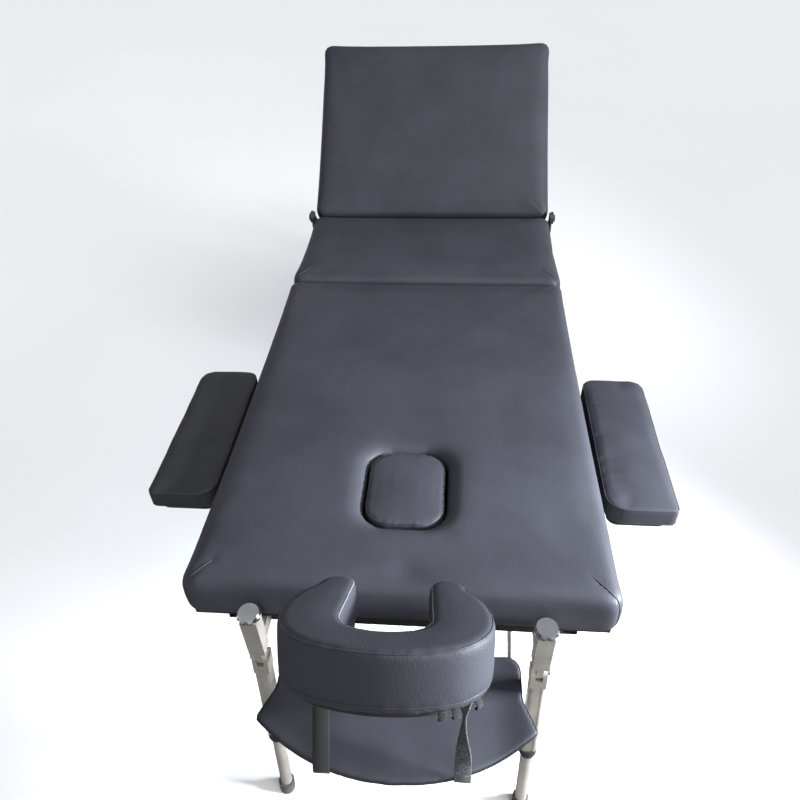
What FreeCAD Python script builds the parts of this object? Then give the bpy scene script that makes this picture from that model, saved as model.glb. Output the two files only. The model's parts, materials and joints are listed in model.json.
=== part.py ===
import FreeCAD, Part
import os
import re
import Sketcher
from FreeCAD import Placement, Rotation, Vector

# Folding massage table in three sections, with a raised back, a face-hole plug,
# two armrests, a tilting headrest and an arm shelf hung under it.
# Millimetres, +Z up, X across the table, the headrest end towards -Y.
# The origin is on the floor under the middle of the footprint.
# Most pieces are drawn about the fold line, then moved to it.

SIZES = {
    # Table top
    "table_width": 680,
    "near_length": 910,
    "mid_length": 365,
    "back_length": 545,
    "table_height": 545,
    "fold_line_y": 61.35,
    "section_gap": 3,
    "pad_thickness": 82,
    "pad_corner": 24,
    "pad_tuck": 5,
    "pad_roll": 20,
    "pad_crown": 4,
    "side_sag": 3,
    "board_thickness": 12,
    "board_inset": 12,
    "back_angle": 42.8,
    "back_axis_depth": 14,
    "back_lift_gap": 0.5,
    # Face hole and its plug
    "hole_width": 142,
    "hole_length": 172,
    "hole_corner": 44,
    "hole_from_end": 217.5,
    "hole_ledge": 8,
    "plug_gap": 2.5,
    "soft_gap": 0.3,
    # Frame rails
    "rail_width": 25,
    "rail_height": 40,
    "rail_wall": 2,
    "frame_inset": 55,
    "frame_end_inset": 30,
    "stay_rail_height": 20,
    "stay_rail_in": 298,
    "mid_rail_y": 300,
    # Legs
    "leg_inset": 118,
    "leg_reach": 24,
    "leg_splay": 8,
    "leg_drop": 18,
    "leg_size": 26,
    "leg_corner": 6,
    "leg_wall": 1.6,
    "leg_groove": 2.4,
    "groove_depth": 0.9,
    "leg_tube_length": 205,
    "leg_head_length": 30,
    "tongue_width": 11,
    "side_play": 0.3,
    "pin_radius": 5,
    "pin_play": 0.05,
    "pin_head_radius": 7,
    "pin_head_length": 4,
    "crossbar_drop": 190,
    "crossbar_radius": 8,
    "collar_radius": 15.5,
    "collar_length": 22,
    "foot_tube_radius": 10.8,
    "foot_tube_wall": 1.5,
    "foot_tube_hidden": 160,
    "foot_radius": 14.5,
    "foot_height": 24,
    "foot_base": 6,
    # Leg brackets and knobs
    "post_height": 112,
    "post_gap": 22,
    "arm_width": 18,
    "arm_height": 26,
    "knob_radius": 18.5,
    "knob_height": 12,
    "knob_scallop": 6,
    "knob_lobes": 8,
    "stud_radius": 4,
    "stud_length": 22,
    # Folding stays
    "stay_inset": 29,
    "stay_radius": 7,
    "stay_eye_radius": 13,
    "stay_eye_width": 18,
    "stay_lower_length": 265,
    "stay_upper_length": 133,
    "stay_upper_width": 14,
    "stay_upper_thickness": 6,
    "stay_spread": 14,
    "stay_drop": 14,
    "rivet_radius": 4,
    # Fold hinge
    "fold_drop": 60,
    "hinge_plate": 5,
    "hinge_tongue": 10,
    "hinge_eye_radius": 12,
    "hinge_length": 64,
    # Ratchet hinges of the back
    "ratchet_radius": 16,
    "ratchet_plate": 5,
    "ratchet_arm": 18,
    "ratchet_offset": 1.5,
    # Armrests
    "armrest_gap": 6,
    "armrest_width": 120,
    "armrest_length": 350,
    "armrest_y": 524,
    "armrest_top_drop": 32,
    "armrest_thickness": 44,
    "armrest_corner": 22,
    "armrest_board": 10,
    "armrest_board_inset": 8,
    "armrest_rod_radius": 6,
    "armrest_rod_spacing": 120,
    "armrest_rod_grip": 90,
    "socket_wall": 3,
    "socket_flange": 4,
    "socket_play": 0.05,
    # Headrest
    "headrest_width": 272,
    "headrest_length": 209,
    "headrest_thickness": 78,
    "headrest_corner": 85,
    "headrest_band": 56,
    "headrest_opening": 112,
    "headrest_bay_corner": 30,
    "headrest_mouth": 102,
    "headrest_tip_width": 206,
    "headrest_tip_radius": 24,
    "headrest_roll": 9,
    "headrest_plate_thickness": 12,
    "headrest_plate_inset": 18,
    "headrest_tilt": 32,
    "headrest_axis_out": 74,
    "headrest_axis_drop": 20,
    "headrest_axis_set": 15,
    "headrest_axis_below": 11,
    "headrest_rod_x": 105,
    "headrest_rod_radius": 8,
    "headrest_rod_in": 110,
    "headrest_rod_out": 112,
    "tie_radius": 6,
    "yoke_plate": 6,
    "yoke_foot": 44,
    "ear_radius": 10,
    "lever_length": 62,
    "lever_width": 14,
    "lever_thickness": 8,
    "lever_hub_radius": 9.8,
    # Arm shelf
    "shelf_drop": 200,
    "shelf_thickness": 10,
    "shelf_leg_gap": 11,
    "shelf_flare_out": 21,
    "shelf_back_in": 20,
    "shelf_corner_out": 104,
    "shelf_front_out": 184,
    "shelf_back_corner": 24,
    "strap_width": 25,
    "strap_thickness": 2.4,
}

PLACES = {
    "half_width": "table_width / 2",
    "far_length": "mid_length + back_length",
    "half_gap": "section_gap / 2",
    "pad_base": "table_height - pad_thickness",
    "board_base": "pad_base - board_thickness",
    "rail_base": "board_base - rail_height",
    "rail_x": "half_width - frame_inset - rail_width",
    "rail_mid_z": "rail_base + rail_height / 2",
    "pin_z": "rail_base - leg_drop",
    "pin_out_near": "near_length + leg_reach",
    "pin_out_far": "far_length + leg_reach",
    "fold_axis_z": "rail_base - fold_drop",
    "leg_length": "pin_z / cos(leg_splay * 1 deg)",
    "stay_z": "rail_base - stay_drop",
    "stay_rail_y": "near_length - stay_rail_in",
    "leg_x": "half_width - leg_inset",
    "stay_x": "leg_x - stay_inset",
    "stay_upper_x": "stay_x - stay_spread",
    "back_axis_z": "table_height - back_axis_depth",
    "hole_y": "hole_from_end - near_length",
    "ratchet_x": "half_width + ratchet_offset",
    "armrest_base": "table_height - armrest_top_drop - armrest_thickness",
    "armrest_x": "half_width + armrest_gap",
    "head_y": "-near_length - headrest_axis_out",
    "head_z": "table_height - headrest_axis_drop",
    "head_base": "headrest_axis_below + headrest_plate_thickness",
    "shelf_half_width": "leg_x - leg_size / 2 - shelf_leg_gap",
    "shelf_flare": "shelf_half_width + shelf_flare_out",
    "shelf_z": "table_height - shelf_drop",
    "shelf_back": "shelf_back_in - near_length",
    "shelf_corner": "-near_length - shelf_corner_out",
    "shelf_front": "-near_length - shelf_front_out",
}

SIDES = (("left", -1), ("right", 1))
ENDS = (("near", -1), ("far", 1))
AXES = {"X": Vector(1, 0, 0), "Y": Vector(0, 1, 0), "Z": Vector(0, 0, 1)}

doc = FreeCAD.newDocument("massage_table")
sizes = doc.addObject("Spreadsheet::Sheet", "Sizes")
places = doc.addObject("Spreadsheet::Sheet", "Places")
nodes = []


def expr(text):
    """Turn plain size names into references to the two sheets."""
    def refer(match):
        word = match.group(0)
        if word in SIZES:
            return "Sizes." + word
        if word in PLACES:
            return "Places." + word
        return word

    return re.sub(r"[a-z_]+[a-z]", refer, str(text))


def fill_sheets():
    for row, (name, value) in enumerate(SIZES.items(), start=1):
        sizes.set(f"A{row}", name)
        sizes.set(f"B{row}", str(value))
        sizes.setAlias(f"B{row}", name)
    doc.recompute()
    for row, (name, formula) in enumerate(PLACES.items(), start=1):
        places.set(f"A{row}", name)
        places.setAlias(f"B{row}", name)
        places.set(f"B{row}", "=" + expr(formula).replace("Places.", ""))
    doc.recompute()


def value(text):
    """The number that an expression of size names stands for."""
    return float(sizes.evalExpression(expr(text)))


def bind(obj, prop, text):
    obj.setExpression(prop, expr(text))


def place(obj, x=0, y=0, z=0, turn=None, axis="X"):
    """Put an object at (x, y, z), turned about a row axis by the expression turn."""
    if turn is not None:
        obj.Placement = Placement(Vector(), Rotation(AXES[axis], 10))
        bind(obj, "Placement.Rotation.Angle", turn)
    for letter, text in zip("xyz", (x, y, z)):
        bind(obj, f"Placement.Base.{letter}", text)
    return obj


def node(obj, label, x="0", y="0", z="0", turn=None):
    """Name a finished sub-part and move it from the fold line into the row frame."""
    obj.Label = label
    place(obj, x, f"fold_line_y + ({y})", z, turn)
    nodes.append(obj)
    return obj


def box(size, low):
    solid = doc.addObject("Part::Box", "Block")
    for prop, text in zip(("Length", "Width", "Height"), size):
        bind(solid, prop, text)
    return place(solid, *low)


def rod(radius, length, start, axis):
    """A cylinder that runs from start along a row axis."""
    turns = {"X": Rotation(AXES["Y"], 90), "Y": Rotation(AXES["X"], -90), "Z": Rotation()}
    solid = doc.addObject("Part::Cylinder", "Rod")
    bind(solid, "Radius", radius)
    bind(solid, "Height", length)
    solid.Placement = Placement(Vector(), turns[axis])
    return place(solid, *start)


def cut(base, *tools):
    for tool in tools:
        result = doc.addObject("Part::Cut", "Cut")
        result.Base = base
        result.Tool = tool
        base = result
    return base


def fuse(*pieces):
    result = doc.addObject("Part::MultiFuse", "Join")
    result.Shapes = list(pieces)
    result.Refine = True
    return result


def group(*pieces):
    """Separate solids that share one node."""
    result = doc.addObject("Part::Compound", "Group")
    result.Links = list(pieces)
    return result


def hollow(size, low, axis):
    """A rectangular tube, open at both ends along a row axis."""
    inner_size = []
    inner_low = []
    for letter, length, start in zip("XYZ", size, low):
        along = letter == axis
        inner_size.append(length if along else f"{length} - 2 * rail_wall")
        inner_low.append(start if along else f"{start} + rail_wall")
    return cut(box(size, low), box(inner_size, inner_low))


def span(sign, start, end):
    """Low edge of a stretch that runs outwards from the fold line."""
    return f"{start}" if sign > 0 else f"-({end})"


def new_body(name):
    return doc.addObject("PartDesign::Body", name)


def new_sketch(body, role, offset="0"):
    sketch = body.newObject("Sketcher::SketchObject", "Sketch")
    plane = [f for f in body.Origin.OriginFeatures if f.Role == role][0]
    sketch.AttachmentSupport = [(plane, "")]
    sketch.MapMode = "FlatFace"
    bind(sketch, "AttachmentOffset.Base.z", offset)
    return sketch


def pin_point(sketch, geometry, point, x, y):
    for kind, text in (("DistanceX", x), ("DistanceY", y)):
        number = sketch.addConstraint(Sketcher.Constraint(kind, -1, 1, geometry, point, value(text)))
        bind(sketch, f"Constraints[{number}]", text)


def draw_outline(sketch, outline):
    """Closed outline: (x, y) ends a line, (x, y, through_x, through_y) ends an arc."""
    last_end = None
    first_start = None
    for corner, before in zip(outline, [outline[-1]] + outline[:-1]):
        start = Vector(value(before[0]), value(before[1]), 0)
        end = Vector(value(corner[0]), value(corner[1]), 0)
        if len(corner) == 4:
            middle = Vector(value(corner[2]), value(corner[3]), 0)
            left_turn = (middle - start).cross(end - middle).z > 0
            ends = (1, 2) if left_turn else (2, 1)
            run = (start, middle, end) if left_turn else (end, middle, start)
            number = sketch.addGeometry(Part.Arc(*run))
            mark = sketch.addGeometry(Part.Point(middle), True)
            pin_point(sketch, mark, 1, corner[2], corner[3])
            sketch.addConstraint(Sketcher.Constraint("PointOnObject", mark, 1, number))
        else:
            number = sketch.addGeometry(Part.LineSegment(start, end))
            ends = (1, 2)
        pin_point(sketch, number, ends[1], corner[0], corner[1])
        if last_end is None:
            first_start = (number, ends[0])
        else:
            sketch.addConstraint(Sketcher.Constraint("Coincident", *last_end, number, ends[0]))
        last_end = (number, ends[1])
    sketch.addConstraint(Sketcher.Constraint("Coincident", *last_end, *first_start))


def draw_circle(sketch, radius, x="0", y="0"):
    centre = Vector(value(x), value(y), 0)
    number = sketch.addGeometry(Part.Circle(centre, Vector(0, 0, 1), value(radius)))
    pin_point(sketch, number, 3, x, y)
    size = sketch.addConstraint(Sketcher.Constraint("Radius", number, value(radius)))
    bind(sketch, f"Constraints[{size}]", radius)


def plate(name, role, outline, thickness, offset="0", holes=()):
    """A flat piece: an outline padded along its plane's normal, with round holes."""
    body = new_body(name)
    sketch = new_sketch(body, role, offset)
    draw_outline(sketch, outline)
    for hole in holes:
        draw_circle(sketch, *hole)
    pad = body.newObject("PartDesign::Pad", "Pad")
    pad.Profile = sketch
    bind(pad, "Length", thickness)
    return body


def turned(name, outline):
    """A round piece about Z: an outline of (radius, height) points revolved."""
    body = new_body(name)
    sketch = new_sketch(body, "XZ_Plane")
    draw_outline(sketch, outline)
    revolution = body.newObject("PartDesign::Revolution", "Revolution")
    revolution.Profile = sketch
    revolution.ReferenceAxis = (sketch, ["V_Axis"])
    revolution.Angle = 360
    return body


def rounded(half_x, half_y, radius, x="0", y="0"):
    """Outline of a rounded rectangle, anticlockwise from its lower right side."""
    knee = f"({radius}) * (1 - sqrt(0.5))"
    corners = []
    for sx, sy in ((1, 1), (-1, 1), (-1, -1), (1, -1)):
        along = [(f"{x} + {sx} * ({half_x})", f"{y} + {sy} * ({half_y} - ({radius}))"),
                 (f"{x} + {sx} * ({half_x} - ({radius}))", f"{y} + {sy} * ({half_y})")]
        first, second = along if sx * sy > 0 else along[::-1]
        through = (f"{x} + {sx} * ({half_x} - {knee})", f"{y} + {sy} * ({half_y} - {knee})")
        corners += [first, (*second, *through)]
    return corners


def soft_ring(low_x, high_x, low_y, high_y, inset, height, corner, sag):
    """A level outline of a cushion whose sides draw in between its corners."""
    x0, x1 = low_x + inset, high_x - inset
    y0, y1 = low_y + inset, high_y - inset
    r = min(max(corner - inset / 2, corner / 4), (x1 - x0) / 3, (y1 - y0) / 3)
    mid_x, mid_y = (x0 + x1) / 2, (y0 + y1) / 2
    k = r * (1 - 0.5 ** 0.5)
    sides = [((x1, y0 + r), (x1 - sag, mid_y), (x1, y1 - r)), ((x1 - r, y1), (mid_x, y1 - sag), (x0 + r, y1)),
             ((x0, y1 - r), (x0 + sag, mid_y), (x0, y0 + r)), ((x0 + r, y0), (mid_x, y0 + sag), (x1 - r, y0))]
    knees = [(x1 - k, y1 - k), (x0 + k, y1 - k), (x0 + k, y0 + k), (x1 - k, y0 + k)]
    edges = []
    for index, (start, middle, end) in enumerate(sides):
        after = sides[(index + 1) % 4][0]
        edges.append(Part.Arc(*[Vector(*p, height) for p in (start, middle, end)]).toShape())
        edges.append(Part.Arc(*[Vector(*p, height) for p in (end, knees[index], after)]).toShape())
    return Part.Wire(edges)


def outline_wire(outline, height):
    """A level wire through an outline of the kind that sketches are drawn with."""
    edges = []
    for corner, before in zip(outline, [outline[-1]] + outline[:-1]):
        numbers = [value(text) for text in corner]
        start = Vector(value(before[0]), value(before[1]), height)
        end = Vector(*numbers[:2], height)
        if len(corner) == 4:
            edges.append(Part.Arc(start, Vector(*numbers[2:], height), end).toShape())
        else:
            edges.append(Part.LineSegment(start, end).toShape())
    return Part.Wire(edges)


def rolled_steps(base, top, tuck, roll, crown):
    """Insets and heights of a cushion's rings: tucked base, full sides, rolled edge."""
    shoulder = top - crown - roll
    wall = shoulder - base
    return [(tuck, base), (tuck * 0.3, base + wall * 0.2), (0, base + wall * 0.6), (roll * 0.04, shoulder),
            (roll * 0.2, shoulder + roll * 0.6), (roll * 0.5, shoulder + roll * 0.87), (roll, shoulder + roll)]


def cushion(low, high, corner, tuck, roll, crown, sag):
    """A cushion between two corners, with a crowned top."""
    base, top = low[2], high[2]
    reach = min(high[0] - low[0], high[1] - low[1]) / 2
    steps = rolled_steps(base, top, tuck, roll, crown)
    steps += [(roll + (reach - roll) * 0.3, top - crown * 0.35), (roll + (reach - roll) * 0.6, top)]
    bounds = (low[0], high[0], low[1], high[1])
    rings = [soft_ring(*bounds, inset, height, corner, sag) for inset, height in steps]
    return Part.makeLoft(rings, True, True)


def soft_solid(shape):
    solid = doc.addObject("Part::Feature", "Cushion")
    solid.Shape = shape
    return solid


def table_cushion(start, end, top="table_height", base="pad_base"):
    """A full-width cushion between two distances along the table."""
    low = [value("-half_width"), value(start), value(base)]
    high = [value("half_width"), value(end), value(top)]
    names = ("pad_corner", "pad_tuck", "pad_roll", "pad_crown", "side_sag")
    return cushion(low, high, *[value(name) for name in names])


def build_top():
    """Boards and cushions of the three sections, and the plug of the face hole."""
    bound = "half_width - board_inset"
    hole = rounded("hole_width / 2 - hole_ledge", "hole_length / 2 - hole_ledge",
                   "hole_corner - hole_ledge", "0", "hole_y")
    near_outline = [(bound, "-half_gap"), (f"-({bound})", "-half_gap"),
                    (f"-({bound})", "board_inset - near_length"), (bound, "board_inset - near_length")]
    near_board = plate("NearBoard", "XY_Plane", near_outline, "board_thickness", "board_base")
    pocket_sketch = new_sketch(near_board, "XY_Plane", "pad_base")
    draw_outline(pocket_sketch, hole)
    pocket = near_board.newObject("PartDesign::Pocket", "FaceHole")
    pocket.Profile = pocket_sketch
    bind(pocket, "Length", "board_thickness")
    node(near_board, "near_board")
    mid_outline = [(bound, "half_gap"), (bound, "mid_length - half_gap"),
                   (f"-({bound})", "mid_length - half_gap"), (f"-({bound})", "half_gap")]
    node(plate("MidBoard", "XY_Plane", mid_outline, "board_thickness", "board_base"), "mid_board")
    back_end = "back_length - board_inset"
    back_outline = [(bound, "half_gap"), (bound, back_end),
                    (f"-({bound})", back_end), (f"-({bound})", "half_gap")]
    back_low = "board_base - back_axis_z + back_lift_gap"
    back_board = plate("BackBoard", "XY_Plane", back_outline, "board_thickness - back_lift_gap", back_low)
    node(back_board, "back_board", y="mid_length", z="back_axis_z", turn="back_angle")

    full_hole = rounded("hole_width / 2", "hole_length / 2", "hole_corner", "0", "hole_y")
    hole_tool = plate("HoleTool", "XY_Plane", full_hole, "2 * pad_thickness", "pad_base - pad_thickness / 2")
    node(cut(soft_solid(table_cushion("-near_length", "-half_gap")), hole_tool), "near_pad")
    node(soft_solid(table_cushion("half_gap", "mid_length - half_gap")), "mid_pad")
    heights = ("table_height - back_axis_z", "pad_base - back_axis_z")
    back_cushion = table_cushion("half_gap", "back_length", *heights)
    node(soft_solid(back_cushion), "back_pad", y="mid_length", z="back_axis_z", turn="back_angle")
    low = ("plug_gap - hole_width / 2", "hole_y - hole_length / 2 + plug_gap", "pad_base + soft_gap")
    high = ("hole_width / 2 - plug_gap", "hole_y + hole_length / 2 - plug_gap", "table_height")
    forms = ("hole_corner - plug_gap", "pad_tuck * 0.4", "pad_roll * 0.7", "pad_crown", "plug_gap * 0.2")
    corners = [[value(text) for text in corner] for corner in (low, high)]
    plug = cushion(*corners, *[value(text) for text in forms])
    node(soft_solid(plug), "face_plug")


def build_frame(end, sign):
    """Rectangular aluminium tubes under one half of the table."""
    reach = f"{end}_length - frame_end_inset"
    length = f"{reach} - half_gap"
    side_rails = []
    for _, side in SIDES:
        low = ("rail_x" if side > 0 else "-(rail_x + rail_width)", span(sign, "half_gap", reach), "rail_base")
        rail = hollow(("rail_width", length, "rail_height"), low, "Y")
        if end == "near":
            tools = [rod("armrest_rod_radius + socket_wall + socket_play", "2 * rail_width",
                         (f"{low[0]} - rail_width / 2", y, "rail_mid_z"), "X") for y in armrest_rods()]
            rail = cut(rail, *tools)
        side_rails.append(rail)
    node(group(*side_rails), f"{end}_side_rails")

    width = "2 * rail_x"
    end_low = span(sign, f"{reach} - rail_width", reach)
    end_rail = hollow((width, "rail_width", "rail_height"), ("-rail_x", end_low, "rail_base"), "X")
    for _, side in SIDES:
        tool = rod("headrest_rod_radius + socket_wall + socket_play", "2 * rail_width",
                   (f"{side} * headrest_rod_x", f"{end_low} - rail_width / 2", "rail_mid_z"), "Y")
        end_rail = cut(end_rail, tool)
    fold_low = span(sign, "half_gap", "half_gap + rail_width")
    fold_rail = hollow((width, "rail_width", "rail_height"), ("-rail_x", fold_low, "rail_base"), "X")
    stay_low = f"{sign} * stay_rail_y - rail_width / 2"
    stay_rail = hollow((width, "rail_width", "stay_rail_height"), ("-rail_x", stay_low, "rail_base"), "X")
    rails = [end_rail, fold_rail, stay_rail]
    if end == "far":
        mid_low = ("-rail_x", "mid_rail_y", "rail_base")
        rails.append(hollow((width, "rail_width", "rail_height"), mid_low, "X"))
    node(group(*rails), f"{end}_cross_rails")


def build_brackets(end, sign):
    """Leg brackets in front of the end rail, each with a post for the lobed knob."""
    pin_y = f"{sign} * pin_out_{end}"
    half = "leg_size / 2"
    brackets = []
    for _, side in SIDES:
        x = f"{side} * leg_x"
        post_low = (f"{x} - {half}", f"{pin_y} - {half}", "pin_z + post_gap")
        post = box(("leg_size", "leg_size", "post_height - post_gap"), post_low)
        rail_face = f"{end}_length - frame_end_inset"
        arm_low = (f"{x} - arm_width / 2", span(sign, rail_face, f"pin_out_{end}"), "pin_z + post_gap + 2")
        arm = box(("arm_width", f"pin_out_{end} - ({rail_face})", "arm_height"), arm_low)
        tongue_low = (f"{x} - tongue_width / 2", f"{pin_y} - {half} + 1", "pin_z")
        tongue = box(("tongue_width", "leg_size - 2", "post_gap + 1"), tongue_low)
        eye = rod("leg_size / 2 - 1", "tongue_width", (f"{x} - tongue_width / 2", pin_y, "pin_z"), "X")
        pin_hole = rod("pin_radius + pin_play", "2 * leg_size", (f"{x} - leg_size", pin_y, "pin_z"), "X")
        stud_hole = rod("stud_radius + pin_play", "stud_length + 2",
                        (x, pin_y, "pin_z + post_height - stud_length - 2"), "Z")
        brackets.append(cut(fuse(post, arm, tongue, eye), pin_hole, stud_hole))
    node(group(*brackets), f"{end}_leg_brackets")


def build_knob(end, sign, side_name, side):
    """A lobed knob with its stud, turning about the bracket post."""
    body = turned("Knob", [
        ("0", "soft_gap - stud_length"), ("stud_radius", "soft_gap - stud_length"),
        ("stud_radius", "soft_gap"), ("knob_radius * 0.7", "soft_gap"),
        ("knob_radius", "soft_gap + knob_height * 0.3"),
        ("knob_radius", "soft_gap + knob_height * 0.7"), ("knob_radius * 0.86", "soft_gap + knob_height"),
        ("0", "soft_gap + knob_height")])
    sketch = new_sketch(body, "XY_Plane", "2 * knob_height")
    draw_circle(sketch, "knob_scallop", "knob_radius + knob_scallop * 0.6")
    scallop = body.newObject("PartDesign::Pocket", "Scallop")
    scallop.Profile = sketch
    bind(scallop, "Length", "2 * knob_height - soft_gap / 2")
    pattern = body.newObject("PartDesign::PolarPattern", "Lobes")
    pattern.Originals = [scallop]
    pattern.Axis = (sketch, ["N_Axis"])
    pattern.Angle = 360
    bind(pattern, "Occurrences", "knob_lobes")
    body.Tip = pattern
    where = (f"{side} * leg_x", f"{sign} * pin_out_{end}", "pin_z + post_height")
    node(body, f"{end}_leg_knob_{side_name}", *where)


def leg_tube(sign, side):
    """A rounded square tube with a groove near its outer front edge, drawn about the pin."""
    half = "leg_size / 2"
    outline = rounded(half, half, "leg_corner")
    groove_x = [f"{side} * leg_size / 6", f"{side} * leg_size / 6 + leg_groove"]
    face = f"{sign} * {half}"
    floor = f"{sign} * ({half} - groove_depth)"
    order = groove_x if sign < 0 else groove_x[::-1]
    notch = [(order[0], face), (order[0], floor), (order[1], floor), (order[1], face)]
    outline = outline[:6] + notch + outline[6:] if sign < 0 else outline[:2] + notch + outline[2:]
    body = plate("LegTube", "XY_Plane", outline, "leg_tube_length - leg_head_length", "-leg_tube_length")
    inner = new_sketch(body, "XY_Plane", "-leg_tube_length")
    draw_outline(inner, rounded(f"{half} - leg_wall", f"{half} - leg_wall", "leg_corner - leg_wall"))
    pocket = body.newObject("PartDesign::Pocket", "Inside")
    pocket.Profile = inner
    pocket.Reversed = True
    bind(pocket, "Length", "leg_tube_length - leg_head_length")
    return body


def leg_head():
    """The forked top of a leg, with room for the bracket's tongue."""
    half = "leg_size / 2"
    block = box(("leg_size", "leg_size", "leg_head_length"), (f"-{half}", f"-{half}", "-leg_head_length"))
    eye = rod(half, "leg_size", (f"-{half}", 0, 0), "X")
    slot = box(("tongue_width + 2 * side_play", "2 * leg_size", "leg_size + side_play * 4"),
               ("-tongue_width / 2 - side_play", "-leg_size", "-leg_size / 2 - side_play * 2"))
    pin_hole = rod("pin_radius + pin_play", "2 * leg_size", ("-leg_size", 0, 0), "X")
    return cut(fuse(block, eye), slot, pin_hole)


def build_legs(end, sign):
    """A pair of legs on one crossbar, with their pivot pins and end collars."""
    where = {"y": f"{sign} * pin_out_{end}", "z": "pin_z", "turn": f"{sign} * leg_splay"}
    legs = []
    pins = []
    collars = []
    for _, side in SIDES:
        x = f"{side} * leg_x"
        leg = fuse(leg_tube(sign, side), leg_head())
        legs.append(place(leg, x))
        shank = rod("pin_radius", "leg_size", (f"{x} - leg_size / 2", 0, 0), "X")
        head_start = f"{x} + {side} * leg_size / 2" if side > 0 else f"{x} - leg_size / 2 - pin_head_length"
        head = rod("pin_head_radius", "pin_head_length", (head_start, 0, 0), "X")
        pins.append(fuse(shank, head))
        collar = turned("Collar", [
            ("foot_tube_radius + pin_play", "-collar_length"), ("collar_radius * 0.86", "-collar_length"),
            ("collar_radius", "-collar_length * 0.7"), ("collar_radius", "0"),
            ("foot_tube_radius + pin_play", "0")])
        collars.append(place(collar, x, 0, "-leg_tube_length"))
    node(group(*legs), f"{end}_legs", **where)
    node(group(*pins), f"{end}_leg_pins", **where)
    node(group(*collars), f"{end}_leg_collars", **where)
    inner = "leg_x - leg_size / 2"
    crossbar = rod("crossbar_radius", f"2 * ({inner})", (f"-({inner})", 0, "-crossbar_drop"), "X")
    node(group(crossbar), f"{end}_leg_crossbar", **where)
    for side_name, side in SIDES:
        build_foot(end, side_name, side, where)


def build_foot(end, side_name, side, where):
    """The sliding lower tube of a leg and its rubber foot, cut level with the floor."""
    top = "-leg_tube_length + foot_tube_hidden"
    low = "-leg_length + foot_base"
    tube = cut(rod("foot_tube_radius", f"{top} - ({low})", (0, 0, low), "Z"),
               rod("foot_tube_radius - foot_tube_wall", f"{top} - ({low})", (0, 0, low), "Z"))
    node(tube, f"{end}_foot_tube_{side_name}", f"{side} * leg_x", **where)
    cup = rod("foot_radius", "foot_height + foot_base", (0, 0, "-leg_length - foot_base"), "Z")
    bore = rod("foot_tube_radius + pin_play", "2 * foot_height", (0, 0, low), "Z")
    reach = "4 * foot_radius"
    floor = box((reach, reach, "foot_radius"), ("-2 * foot_radius", "-2 * foot_radius", "-foot_radius"))
    level = place(group(floor), 0, 0, "-leg_length", f"-({where['turn']})")
    node(cut(cup, bore, level), f"{end}_foot_{side_name}", f"{side} * leg_x", **where)


def build_stays(end, sign):
    """Two-part folding stays from the crossbar to the stay rail, open at the knuckle."""
    splay = "leg_splay * 1 deg"
    low_y = f"(pin_out_{end} + crossbar_drop * sin({splay}))"
    low_z = f"(pin_z - crossbar_drop * cos({splay}))"
    rise = f"atan((stay_z - {low_z}) / ({low_y} - stay_rail_y))"
    lowers = []
    uppers = []
    brackets = []
    for _, side in SIDES:
        x = f"{side} * stay_x"
        eye = rod("stay_eye_radius", "stay_eye_width", (f"{x} - stay_eye_width / 2", 0, 0), "X")
        tube = rod("stay_radius", "stay_lower_length", (x, 0, 0), "Y")
        bore = rod("crossbar_radius + pin_play", "4 * stay_radius", (f"{x} - 2 * stay_radius", 0, 0), "X")
        lowers.append(cut(fuse(eye, tube), bore))
        upper_x = f"{side} * stay_upper_x - stay_upper_thickness / 2"
        bar = box(("stay_upper_thickness", "stay_upper_length", "stay_upper_width"),
                  (upper_x, "-stay_upper_length", "-stay_upper_width / 2"))
        rounds = [rod("stay_upper_width / 2", "stay_upper_thickness", (upper_x, y, 0), "X")
                  for y in ("0", "-stay_upper_length")]
        rivet_hole = rod("rivet_radius + pin_play", "4 * stay_upper_thickness",
                         (f"{upper_x} - stay_upper_thickness", 0, 0), "X")
        uppers.append(cut(fuse(bar, *rounds), rivet_hole))
        lug_x = f"{side} * (stay_upper_x - stay_upper_thickness) - stay_upper_thickness / 2"
        side_gap = f"{side} * side_play"
        lug_low = (f"{lug_x} - {side_gap}", f"{sign} * stay_rail_y - stay_upper_width / 2", "stay_z")
        lug = box(("stay_upper_thickness", "stay_upper_width", "stay_drop"), lug_low)
        lug_eye = rod("stay_upper_width / 2", "stay_upper_thickness",
                      (lug_low[0], f"{sign} * stay_rail_y", "stay_z"), "X")
        rivet_low = f"{side} * (stay_upper_x - stay_upper_thickness / 4) - stay_upper_thickness * 1.25"
        rivet_start = (rivet_low, f"{sign} * stay_rail_y", "stay_z")
        rivet = rod("rivet_radius", "2.5 * stay_upper_thickness", rivet_start, "X")
        brackets.append(fuse(lug, lug_eye, rivet))
    turn = rise if sign < 0 else f"180 deg - {rise}"
    node(group(*lowers), f"{end}_stay_lower", y=f"{sign} * {low_y}", z=low_z, turn=turn)
    node(group(*uppers), f"{end}_stay_upper", y=f"{sign} * stay_rail_y", z="stay_z", turn=turn)
    node(group(*brackets), f"{end}_stay_brackets")


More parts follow.
